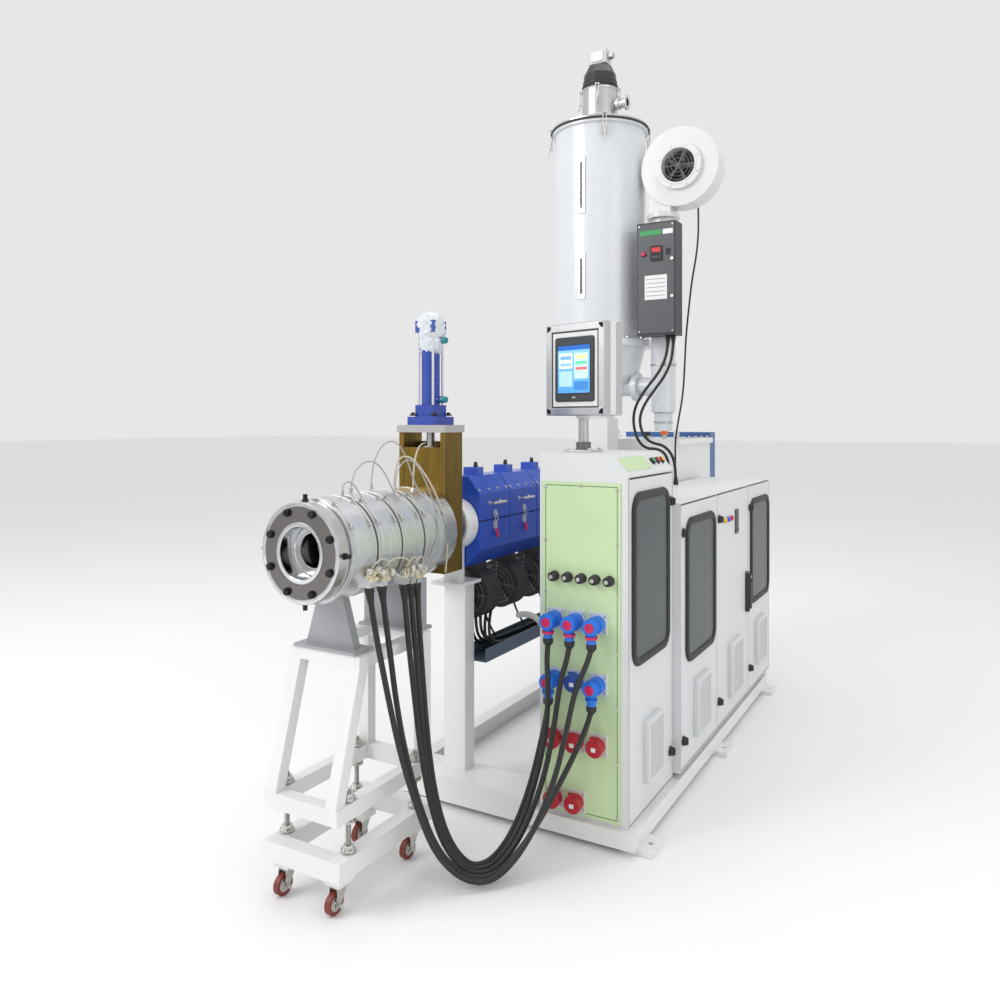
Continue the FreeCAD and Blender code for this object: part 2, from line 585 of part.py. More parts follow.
def upper_outline(inset, split):
    side = f"(cover_side-{inset})"
    flat = f"(cover_flat-{inset}/2)"
    shoulder = f"axis_height+cover_shoulder-{inset}/2"
    top = f"axis_height+cover_high-{inset}"
    return [(f"{AXIS}-{side}", split), (f"{AXIS}+{side}", split), (f"{AXIS}+{side}", shoulder),
            (f"{AXIS}+{flat}", top), (f"{AXIS}-{flat}", top), (f"{AXIS}-{side}", shoulder)]


def lower_outline(inset, split):
    side = f"(cover_side-{inset})"
    keel = f"(cover_keel-{inset}/2)"
    hip = f"axis_height-cover_hip+{inset}/2"
    bottom = f"axis_height-cover_low+{inset}"
    return [(f"{AXIS}-{side}", split), (f"{AXIS}-{side}", hip), (f"{AXIS}-{keel}", bottom),
            (f"{AXIS}+{keel}", bottom), (f"{AXIS}+{side}", hip), (f"{AXIS}+{side}", split)]


def upper_cover(number):
    """An upper half, hinged along its far side, with the junction box on its top."""
    start = reach(f"cover_start+{number}*cover_pitch")
    split = f"{HINGE_Z}+split_gap/2"
    shell = cover_shell(start, upper_outline("0", split), upper_outline("cover_sheet", f"{split}-1"),
                        "cover_clear")
    middle = f"{start}+({COVER_LONG})/2"
    junction = box(about(AXIS, "junction_wide"), about(middle, "junction_long"),
                   after("axis_height+cover_high", "junction_high"))
    eye = cylinder("y", (HINGE_X, f"{middle}-knuckle_long/2", HINGE_Z), "knuckle_radius",
                   "knuckle_long")
    tab = box((HINGE_X, f"{AXIS}-cover_side+1"), about(middle, "knuckle_long"), after(split, "tab_thick"))
    bore = cylinder("y", (HINGE_X, f"{middle}-knuckle_long/2", HINGE_Z), "axle_radius+pin_fit",
                    "knuckle_long")
    sub_part(f"upper_cover_{number + 1}", cut(fuse(shell, junction, eye, tab), bore))


def lower_covers():
    """The fixed lower halves, each with the pin that its upper half turns on."""
    pieces = []
    for number in range(SIZES["cover_count"]):
        start = reach(f"cover_start+{number}*cover_pitch")
        split = f"{HINGE_Z}-split_gap/2"
        shell = cover_shell(start, lower_outline("0", split), lower_outline("cover_sheet", f"{split}+1"),
                            "seat_fit")
        middle = f"{start}+({COVER_LONG})/2"
        whole = "knuckle_long+2*seat_fit+2*knuckle_end"
        pin = cylinder("y", (HINGE_X, f"{middle}-({whole})/2", HINGE_Z), "axle_radius", whole)
        rest = [shell, pin]
        for low in (f"{middle}-({whole})/2", f"{middle}+knuckle_long/2+seat_fit"):
            rest.append(cylinder("y", (HINGE_X, low, HINGE_Z), "knuckle_radius", "knuckle_end"))
            rest.append(box((HINGE_X, f"{AXIS}-cover_side+1"), after(low, "knuckle_end"),
                            (f"{split}-tab_thick", split)))
        pieces.append(fuse(*rest))
    sub_part("lower_covers", fuse(*pieces))


def cooling_fans():
    """A blower hung under each lower cover, its outlet feeding up into the cover."""
    pieces = []
    centre = "axis_height-fan_drop"
    for number in range(SIZES["cover_count"]):
        start = reach(f"cover_start+{number}*cover_pitch+fan_nudge")
        drum = cylinder("y", (AXIS, start, centre), "fan_radius", "fan_thick")
        neck = box(about(AXIS, "cover_keel*2"), (start, f"{start}+fan_thick"),
                   (centre, "axis_height-cover_low"))
        pieces.append(fuse(drum, neck))
    sub_part("cooling_fans", fuse(*pieces))


def barrel_post():
    """The post on the base's nose, its top plate, and the clamp that holds the barrel."""
    clamp_long = "cover_start-clamp_start-cover_gap"
    post = box(about(AXIS, "post_side"), after(reach("post_start"), "post_length"), (RAIL_TOP, "post_top"))
    plate = box(about(AXIS, "post_side+2*post_brim"),
                (reach("clamp_start"), reach("post_start+post_length+post_brim")),
                after("post_top", "post_plate"))
    saddle = box(about(AXIS, "saddle_wide"), after(reach("saddle_start"), "saddle_long"),
                 ("post_top+post_plate", "axis_height"))
    ring = cylinder("y", (AXIS, reach("clamp_start"), "axis_height"), "clamp_radius", clamp_long)
    bore = cylinder("y", (AXIS, reach("clamp_start"), "axis_height"), "barrel_radius", clamp_long)
    sub_part("barrel_post", cut(fuse(post, plate, saddle, ring), bore))


def cable_tray():
    outer = box(about(f"{AXIS}+tray_offset", "tray_wide"),
                (reach("post_start+post_length"), reach("gearbox_start")),
                after("tray_low", "tray_high"))
    inner = box(about(f"{AXIS}+tray_offset", "tray_wide-2*tray_sheet"),
                (reach("post_start+post_length"), reach("gearbox_start")),
                ("tray_low+tray_sheet", "tray_low+tray_high"))
    sub_part("cable_tray", cut(outer, inner))


GATE_START = "-gate_front"
GATE_MIDDLE = reach("gate_long/2-gate_front")


def screen_changer():
    """The block that the melt passes, its yoke, and the plate that the ram slides through it."""
    body_y = (reach(GATE_START), reach(f"{GATE_START}+gate_long"))
    block = box(about(AXIS, "2*gate_half"), body_y, about("axis_height", "2*gate_high"))
    slot = box(about(AXIS, "slot_wide+2*slide_fit"), about(GATE_MIDDLE, "slot_deep+2*slide_fit"),
               about("axis_height", "2*gate_high"))
    cheeks = [box((f"{AXIS}-gate_half", f"{AXIS}-gate_half+cheek_thick"), body_y,
                  ("axis_height+gate_high", "cheek_top")),
              box((f"{AXIS}+gate_half-cheek_thick", f"{AXIS}+gate_half"), body_y,
                  ("axis_height+gate_high", "cheek_top"))]
    sub_part("gate_body", cut(fuse(block, *cheeks), slot))
    cap = box(about(AXIS, "2*(gate_half+cap_brim)"),
              (f"{body_y[0]}-cap_brim", f"{body_y[1]}+cap_brim"), after("cheek_top", "cap_thick"))
    plate = box(about(AXIS, "slot_wide"), about(GATE_MIDDLE, "slot_deep"), ("slide_low", "slide_high"))
    coupling = cylinder("z", (AXIS, GATE_MIDDLE, "slide_high"), "coupling_radius", "coupling_high")
    rod = cylinder("z", (AXIS, GATE_MIDDLE, "slide_high"), "rod_radius", "rod_top-slide_high")
    sub_part("gate_slide", fuse(plate, coupling, rod))
    foot = "cheek_top+cap_thick"
    ram = cylinder("z", (AXIS, GATE_MIDDLE, foot), "ram_radius", f"ram_top-({foot})")
    square = box(about(AXIS, "2*ram_plate"), about(GATE_MIDDLE, "2*ram_plate"),
                 after(foot, "ram_plate_thick"))
    head = box(about(AXIS, "2*ram_head"), about(GATE_MIDDLE, "2*ram_head"),
               ("ram_top-ram_head_high", "ram_top"))
    neck = box(about(AXIS, "2*ram_head"), about(GATE_MIDDLE, "2*ram_head"),
               after(f"{foot}+ram_plate_thick", "ram_head_high"))
    bore = cylinder("z", (AXIS, GATE_MIDDLE, foot), "rod_radius+pin_fit", f"rod_top+rod_over-({foot})")
    hole = cylinder("z", (AXIS, GATE_MIDDLE, "cheek_top"), "cap_bore", "cap_thick")
    sub_part("gate_ram", cut(fuse(cut(cap, hole), ram, square, head, neck), bore))


def die():
    """A pipe die: stepped bore, drilled face, heater bands along it and a flange behind."""
    front = reach("-die_reach")
    long = "die_reach-die_end"
    body = turned("y", (AXIS, front, "axis_height"), [
        ("bore_throat", "mouth_deep"), ("bore_mouth", "mouth_deep"), ("bore_mouth", "0"),
        ("die_face_radius", "0"), ("die_face_radius", "die_face_long"),
        ("die_core", "die_face_long"), ("die_core", long), ("bore_throat", long)])
    holes = []
    for number in range(SIZES["die_bolt_count"]):
        angle = f"({number}+0.5)*360deg/die_bolt_count"
        holes.append(cylinder("y", (f"{AXIS}+die_bolt_ring*cos({angle})", front,
                                    f"axis_height+die_bolt_ring*sin({angle})"),
                              "die_bolt_bore", "die_bolt_deep"))
    flange = tube("y", (AXIS, reach("-die_end"), "axis_height"), "die_flange_radius", "bore_throat",
                  "die_end-gate_front")
    sub_part("die_body", fuse(cut(body, *holes), flange))
    bands = []
    for number in range(4):
        start = f"{front}+die_face_long+die_step+{number}*die_band_pitch"
        bands.append(cylinder("y", (AXIS, start, "axis_height"), "die_band", "die_band_long"))
    exits = [power_route(route)[0] for route in POWER_ROUTES]
    terminals = [box(after(f"{across}-terminal_inset", "terminal_across"), about(along, "terminal_long"),
                     after(high, "terminal_tall")) for across, along, high in exits]
    core = cylinder("y", (AXIS, front, "axis_height"), "die_core", long)
    sub_part("die_bands", cut(fuse(*bands, *terminals), core))


def die_feet():
    """The tapered front foot and the wide rear foot, cut to the round of the die."""
    table = "upper_low+upper_high"
    top = "axis_height-die_band+saddle_bite"
    pieces = []
    for place, wide, crown in (("front_foot", "front_foot_wide", "front_foot_top"),
                               ("rear_foot", "rear_foot_wide", "rear_foot_wide")):
        plate = box(about(AXIS, "rear_foot_wide"), about(reach(f"-{place}"), "3*foot_rib"),
                    after(table, "table_thick"))
        rib = extruded("XZ_Plane", [(f"{AXIS}-{wide}/2", f"{table}+table_thick"),
                                    (f"{AXIS}+{wide}/2", f"{table}+table_thick"),
                                    (f"{AXIS}+{crown}/2", top), (f"{AXIS}-{crown}/2", top)],
                       reach(f"-{place}"), "foot_rib")
        bite = cylinder("y", (AXIS, reach(f"-{place}-3*foot_rib"), "axis_height"), "die_band+seat_fit",
                        "6*foot_rib")
        pieces.append(cut(fuse(plate, rib), bite))
    return pieces


def trolley():
    """Casters carry a base, four jack screws stand on it, and they carry the leaning frame."""
    front, back = reach("-trolley_front"), reach("-trolley_back")
    deep = ("trolley_low", "trolley_low+trolley_high")
    sides = [(f"{AXIS}-trolley_half", f"{AXIS}-trolley_half+trolley_rail"),
             (f"{AXIS}+trolley_half-trolley_rail", f"{AXIS}+trolley_half")]
    pieces = [box(side, (front, back), deep) for side in sides]
    whole = (sides[0][0], sides[1][1])
    pieces.append(box(whole, (front, f"{front}+trolley_rail"), deep))
    pieces.append(box(whole, (f"{back}-trolley_rail", back), deep))
    holes = []
    for across, along in caster_places():
        pieces.append(box(about(across, "2*pad_half"), about(along, "2*pad_half"),
                          ("pad_low", "trolley_low+pad_sunk")))
        holes.append(cylinder("z", (across, along, "pad_low"), "stem_radius+pin_fit",
                              "stem_deep+5"))
    sub_part("trolley_base", cut(fuse(*pieces), *holes))
    frame = []
    low = after("lower_low", "lower_high")
    high = after("upper_low", "upper_high")
    levels = ((low, "lower_half", "lower_front"), (high, "upper_half", "upper_front"))
    for level, half, nose in levels:
        start = reach(f"-{nose}")
        for side in (-1, 1):
            edge = f"{AXIS}+{side}*{half}"
            across = (edge, f"{edge}+leg_wide") if side < 0 else (f"{edge}-leg_wide", edge)
            frame.append(box(across, (start, back), level))
        ends = (f"{AXIS}-{half}", f"{AXIS}+{half}")
        frame.append(box(ends, (start, f"{start}+leg_wide"), level))
        frame.append(box(ends, (f"{back}-leg_wide", back), level))
    for side in (-1, 1):
        middle = f"{AXIS}+{side}*(upper_half-leg_wide/2)"
        lean = [(reach("-lower_front"), "lower_low+lower_high"),
                (reach("-lower_front+leg_wide"), "lower_low+lower_high"),
                (reach("-upper_front+leg_wide"), "upper_low"), (reach("-upper_front"), "upper_low")]
        frame.append(extruded("YZ_Plane", lean, middle, "leg_wide"))
        frame.append(box(about(middle, "leg_wide"), (f"{back}-leg_wide", back),
                         ("lower_low+lower_high", "upper_low")))
    holes = [cylinder("z", (across, along, "lower_low"), "jack_radius+pin_fit", "lower_high")
             for across, along in jack_places()]
    sub_part("trolley_frame", fuse(cut(fuse(*frame), *holes), *die_feet()))
    jacks = []
    foot = "trolley_low+trolley_high"
    for across, along in jack_places():
        rod = cylinder("z", (across, along, foot), "jack_radius", f"jack_top-({foot})")
        nuts = [cylinder("z", (across, along, place), "nut_radius", "nut_high")
                for place in (foot, "lower_low-nut_high", "lower_low+lower_high")]
        jacks.append(fuse(rod, *nuts))
    sub_part("jack_screws", fuse(*jacks))


def caster_places():
    return [(f"{AXIS}+{side}*caster_half", reach(f"-{along}"))
            for side in (-1, 1) for along in ("caster_front", "caster_back")]


def jack_places():
    return [(f"{AXIS}+{side}*(lower_half-leg_wide/2)", reach(along)) for side in (-1, 1)
            for along in ("-trolley_front+jack_inset", "-trolley_back-jack_inset")]


def caster(number, across, along):
    """A swivelling fork with its stem and axle, and the wheel it carries."""
    inner = "wheel_wide/2+cheek_gap"
    hub_y = f"{along}-caster_trail"
    foot = "(fork_top-disc_thick)"
    disc = cylinder("z", (across, along, foot), "fork_radius", f"pad_low-seat_fit-{foot}")
    stem = cylinder("z", (across, along, foot), "stem_radius", f"pad_low+stem_deep-{foot}")
    cheeks = []
    for side in (-1, 1):
        near = f"{across}+{side}*({inner})"
        far = f"{near}+{side}*fork_sheet"
        low, high = (far, near) if side < 0 else (near, far)
        bottom, top = "wheel_radius-cheek_low", "fork_top-cheek_tuck"
        outline = [(f"{hub_y}-cheek_toe", bottom), (f"{hub_y}+cheek_toe", bottom),
                   (f"{along}+cheek_front", top), (f"{along}-cheek_back", top)]
        cheeks.append(extruded("YZ_Plane", outline, f"({low}+{high})/2", "fork_sheet"))
    axle = cylinder("x", (f"{across}-({inner})-fork_sheet", hub_y, "wheel_radius"), "axle_radius",
                    f"2*({inner}+fork_sheet)")
    bridge = box(about(across, f"2*({inner}+fork_sheet)"), (f"{along}-cheek_back", f"{along}+cheek_front"),
                 ("fork_top-bridge_low", "fork_top-bridge_high"))
    sub_part(f"caster_fork_{number}", fuse(disc, stem, bridge, axle, *cheeks))
    wheel = tube("x", (f"{across}-wheel_wide/2", hub_y, "wheel_radius"), "wheel_radius", "wheel_bore",
                 "wheel_wide")
    sub_part(f"caster_wheel_{number}", wheel)


FEED = reach("feed_reach")


def feed_throat():
    """The water-cooled throat round the screw, the shutter above it and the lantern behind."""
    top = "axis_height+throat_over"
    block = box(about(AXIS, "2*throat_half"), about(FEED, "2*throat_half"),
                ("axis_height-throat_under", top))
    lantern = cylinder("y", (AXIS, f"{FEED}+throat_half", "axis_height"), "lantern_radius",
                       "gearbox_start-feed_reach-throat_half")
    shutter = box(about(AXIS, "2*shutter_half"), about(FEED, "2*shutter_half"), (top, "shutter_top"))
    chute = cylinder("z", (AXIS, FEED, "axis_height"), "chute_radius", "shutter_top-axis_height")
    sub_part("feed_throat", cut(fuse(block, lantern, shutter), chute))


def hopper():
    wall = "hopper_wall"
    base = "shutter_top"
    outline = [
        ("neck_radius", base), ("neck_radius", "neck_top"), ("cone_radius", "cone_top"),
        ("hopper_radius", "hopper_start-flange_high/2"), ("hopper_flange", "hopper_start-flange_high/2"),
        ("hopper_flange", "hopper_start+flange_high/2"), ("hopper_radius", "hopper_start+flange_high/2"),
        ("hopper_radius", "hopper_top-rim_high"), ("rim_radius", "hopper_top-rim_high"),
        ("rim_radius", "hopper_top"), (f"hopper_radius-{wall}", "hopper_top"),
        (f"hopper_radius-{wall}", "hopper_start-flange_high/2"),
        (f"cone_radius-{wall}", "cone_top"), (f"neck_radius-{wall}", "neck_top"),
        (f"neck_radius-{wall}", base)]
    shell = turned("z", (AXIS, FEED, "0"), outline)
    stub = cylinder("x", (f"{AXIS}+inlet_root", FEED, "inlet_high"), "inlet_radius",
                    "inlet_reach-inlet_root")
    flange = cylinder("x", (f"{AXIS}+inlet_reach-inlet_flange_thick", FEED, "inlet_high"),
                      "inlet_flange", "inlet_flange_thick")
    sub_part("hopper", fuse(shell, stub, flange))
    lid = cylinder("z", (AXIS, FEED, "hopper_top"), "lid_radius", "lid_thick")
    neck = cylinder("z", (AXIS, FEED, "hopper_top"), "loader_foot", "loader_low-hopper_top")
    sub_part("hopper_lid", fuse(lid, neck))


def loader():
    """A vacuum loader: steel can, domed cap, filter box on top and a stub for its hose."""
    can = cylinder("z", (AXIS, FEED, "loader_low"), "loader_radius", "loader_can_top-loader_low")
    dome = turned("z", (AXIS, FEED, "0"), [
        ("0", "loader_can_top"), ("loader_radius", "loader_can_top"),
        ("loader_dome", "(loader_can_top+loader_cap_top)/2+dome_shoulder"),
        ("loader_dome*0.75", "loader_cap_top"), ("0", "loader_cap_top")])
    filter_box = box(about(AXIS, "filter_wide"), about(FEED, "filter_deep"), ("filter_low", "loader_top"))
    collar = cylinder("z", (AXIS, FEED, "loader_cap_top-collar_sunk"), "stub_radius+collar_brim",
                      "filter_low-loader_cap_top+2*collar_sunk")
    across = "(loader_low+loader_can_top)/2"
    stub = cylinder("x", (AXIS, FEED, across), "stub_radius", "loader_radius+stub_long")
    flange = cylinder("x", (f"{AXIS}+loader_radius+stub_long-stub_flange", FEED, across),
                      "stub_radius+stub_flange_brim", "stub_flange")
    sub_part("loader", fuse(can, dome, collar, filter_box, stub, flange))


TUBE_X = f"{AXIS}+heater_offset"


def air_heater():
    """The upright heater tube, its narrower foot and the flanged pipe into the hopper's cone."""
    barrel_piece = cylinder("z", (TUBE_X, FEED, "heater_low"), "heater_radius", "heater_top-heater_low")
    foot = cylinder("z", (TUBE_X, FEED, "heater_foot"), "heater_foot_radius", "heater_low-heater_foot")
    pipe = cylinder("x", (f"{AXIS}+inlet_reach", FEED, "inlet_high"), "inlet_radius",
                    "heater_offset-inlet_reach")
    flange = cylinder("x", (f"{AXIS}+inlet_reach", FEED, "inlet_high"), "inlet_flange",
                      "inlet_flange_thick")
    sub_part("air_heater", fuse(barrel_piece, foot, pipe, flange))


BLOWER_X = f"{AXIS}+blower_offset"


def blower():
    """A round-cased blower with an open eye in front, its motor behind and its outlet below."""
    front = f"{FEED}-blower_thick/2"
    case = cylinder("y", (BLOWER_X, front, "blower_high"), "blower_radius", "blower_thick")
    ring = cylinder("y", (BLOWER_X, f"{front}-inlet_ring", "blower_high"), "blower_inlet", "inlet_ring")
    eye = cylinder("y", (BLOWER_X, f"{front}-inlet_ring", "blower_high"), "fan_eye",
                   "inlet_ring+blower_thick/2")
    motor = cylinder("y", (BLOWER_X, f"{front}+blower_thick", "blower_high"), "blower_motor", "motor_long")
    neck = box(about(TUBE_X, "outlet_wide"), about(FEED, "blower_thick-outlet_narrow"),
               ("heater_top+outlet_thick", "blower_high"))
    flange = cylinder("z", (TUBE_X, FEED, "heater_top"), "outlet_flange", "outlet_thick")
    sub_part("blower", cut(fuse(case, ring, motor, neck, flange), eye))


def control_box():
    """The hopper's control box, strapped to the front of the heater tube."""
    across = f"{AXIS}+control_offset"
    case = box(about(across, "control_wide"), after(reach("control_front"), "control_deep"),
               ("control_low", "control_top"))
    depth = (reach("control_front+control_deep"), f"{FEED}-heater_radius+strap_sunk")
    straps = [box(about(TUBE_X, "strap_wide"), depth, after(place, "strap_high"))
              for place in ("control_low+strap_inset", "control_top-strap_inset-strap_high")]
    hollow = cylinder("z", (TUBE_X, FEED, "control_low"), "heater_radius+seat_fit",
                      "control_top-control_low")
    sub_part("control_box", cut(fuse(case, *straps), hollow))


def gearbox():
    """The gearbox casting on its plinth, a lid with lifting eyes, and the guard behind it."""
    right = f"{HALF}-gearbox_near"
    left = f"{right}-gearbox_wide"
    along = (reach("gearbox_start"), reach("gearbox_end"))
    plinth = box((f"{left}+gearbox_waist_in", f"{right}-gearbox_waist_in"), along,
                 (RAIL_TOP, "gearbox_waist"))
    sole = box((left, right), along, after(RAIL_TOP, "gearbox_lid"))
    case = box((left, right), along, ("gearbox_waist", "gearbox_top"))
    brim = "gearbox_lid_brim"
    lid = box((f"{left}-{brim}", f"{right}+{brim}"), along,
              after("gearbox_top", "gearbox_lid"))
    middle = reach("(gearbox_start+gearbox_end)/2")
    crown = "gearbox_top+gearbox_lid+eye_radius-eye_sunk"
    eyes = [tube("x", (start, middle, crown), "eye_radius", "eye_radius-eye_thick", "2*eye_thick")
            for start in (f"{left}+eye_inset", f"{right}-eye_inset-2*eye_thick")]
    guard = box((f"{left}+guard_inset", right), (along[1], f"{along[1]}+guard_thick"),
                ("guard_low", "guard_top"))
    sub_part("gearbox", fuse(plinth, sole, case, lid, *eyes))
    sub_part("belt_guard", guard)


def drive():
    """The motor and the spoked pulley that show through the enclosure's windows."""
    back = f"{ENCLOSURE_LEFT}+sheet"
    body = cylinder("x", (back, reach("motor_reach"), "motor_high"), "motor_radius", "motor_body")
    shaft = cylinder("x", (back, reach("motor_reach"), "motor_high"), "shaft_radius",
                     "enclosure_wide-sheet-pulley_depth")
    feet = box((back, f"{back}+motor_body"), about(reach("motor_reach"), "2*motor_radius"),
               ("enclosure_low+sheet", "motor_high-motor_radius+motor_foot"))
    sub_part("drive_motor", fuse(body, shaft, feet))
    centre = f"{HALF}-pulley_depth-pulley_wide"
    at = (centre, reach("pulley_reach"), "pulley_high")
    rim = tube("x", at, "pulley_radius", "pulley_radius-pulley_rim", "pulley_wide")
    hub = cylinder("x", at, "pulley_hub", "pulley_wide")
    middle = (f"{centre}+pulley_wide/2", at[1], at[2])
    arms = [moved(centred_box("spoke_thick", "2*(pulley_radius-pulley_rim/2)", "spoke_wide"), middle,
                  Rotation(Vector(1, 0, 0), 60 * turn)) for turn in range(3)]
    axle = cylinder("x", (back, at[1], at[2]), "shaft_radius", f"({centre}+pulley_wide)-({back})")
    bearing = cylinder("x", (back, at[1], at[2]), "pulley_hub", "pulley_hub")
    sub_part("belt_pulley", fuse(rim, hub, axle, bearing, *arms))


def carried(points, start, end):
    """A route whose end runs move with what holds them, and the rest by even shares between."""
    shares = [min(max((index - 1) / (len(points) - 3), 0), 1) for index in range(len(points))]
    return [tuple(Vector(*point) + start * (1 - share) + end * share)
            for point, share in zip(points, shares)]


def power_route(points):
    outward = drift("band") * math.sqrt(0.5)
    die = Vector(drift("axis") + outward, drift("front"), drift("height") - outward)
    return carried(points, die, Vector(drift("side"), drift("front"), drift("sockets")))


def hopper_route(points):
    return carried(points, Vector(drift("axis"), drift("feed"), drift("height")),
                   Vector(drift("side"), drift("feed"), drift("roof")))


def cord_path(points):
    """Straight runs joined by tangent arcs, each as large as its two runs allow."""
    corners = [Vector(*point) for point in points]
    edges = []
    radii = []
    start = corners[0]
    for before, corner, following in zip(corners, corners[1:], corners[2:]):
        into = (corner - before).normalize()
        out = (following - corner).normalize()
        turn = into.getAngle(out)
        reach_back = 0.45 * min((corner - before).Length, (following - corner).Length)
        first = corner - into * reach_back
        last = corner + out * reach_back
        radius = reach_back / math.tan(turn / 2)
        radii.append(radius)
        to_centre = (out - into).normalize() * (radius / math.cos(turn / 2))
        middle = corner + to_centre - to_centre.normalize() * radius
        edges.append(Part.LineSegment(start, first).toShape())
        edges.append(Part.Arc(first, middle, last).toShape())
        start = last
    edges.append(Part.LineSegment(start, corners[-1]).toShape())
    return Part.Wire(edges), radii


def cord(label, points, diameter):
    path, radii = cord_path(points)
    first = path.Edges[0]
    heading = first.tangentAt(first.FirstParameter)
    ring = Part.Wire([Part.makeCircle(diameter / 2, Vector(*points[0]), heading)])
    solid = path.makePipeShell([ring], True, True)
    expected = math.pi * diameter ** 2 / 4 * path.Length
    print(f"{label}: length {path.Length:.0f}, least radius {min(radii):.0f}, volume ratio"
          f" {solid.Volume / expected:.4f}")
    feature = DOC.addObject("Part::Feature", "Cable")
    feature.Shape = solid
    sub_part(label, feature)


def build():
    fill_sheet()
    base_frame()
    console_shell()
    socket_panel()
    power_sockets()
    power_plugs()
    drive_enclosure()
    for number, plan in enumerate(door_table(), start=1):
        door(number, plan)
    operator_terminal()
    barrel()
    barrel_post()
    cable_tray()
    for number in range(SIZES["cover_count"]):
        upper_cover(number)
    lower_covers()
    cooling_fans()
    screen_changer()
    die()
    trolley()
    for number, (across, along) in enumerate(caster_places(), start=1):
        caster(number, across, along)
    feed_throat()
    hopper()
    loader()
    air_heater()
    blower()
    control_box()
    gearbox()
    drive()
    for number, route in enumerate(POWER_ROUTES, start=1):
        cord(f"power_cable_{number}", power_route(route), POWER_CABLE)
    for number, route in enumerate(CONTROL_ROUTES, start=1):
        cord(f"control_cable_{number}", hopper_route(route), CONTROL_CABLE)
    cord("blower_cable", hopper_route(BLOWER_ROUTE), BLOWER_CABLE)


def check():
    DOC.recompute()
    faults = [thing.Name for thing in DOC.Objects if {"Invalid", "Error"} & set(thing.State)]
    faults += [part.Label for part in SUB_PARTS if part.Shape.isNull() or not part.Shape.isValid()]
    if faults:
        raise RuntimeError(f"These pieces did not build: {faults}")


def save():
    os.makedirs("parts", exist_ok=True)
    for part in SUB_PARTS:
        part.Shape.exportStep(f"parts/{part.Label}.step")
        print(part.Label, len(part.Shape.Solids))


build()
check()
save()
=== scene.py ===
"""Dresses the plastic extruder: cables, paint and metal finishes, fittings and studio stage."""

import json
import sys
from math import cos, pi, radians, sin

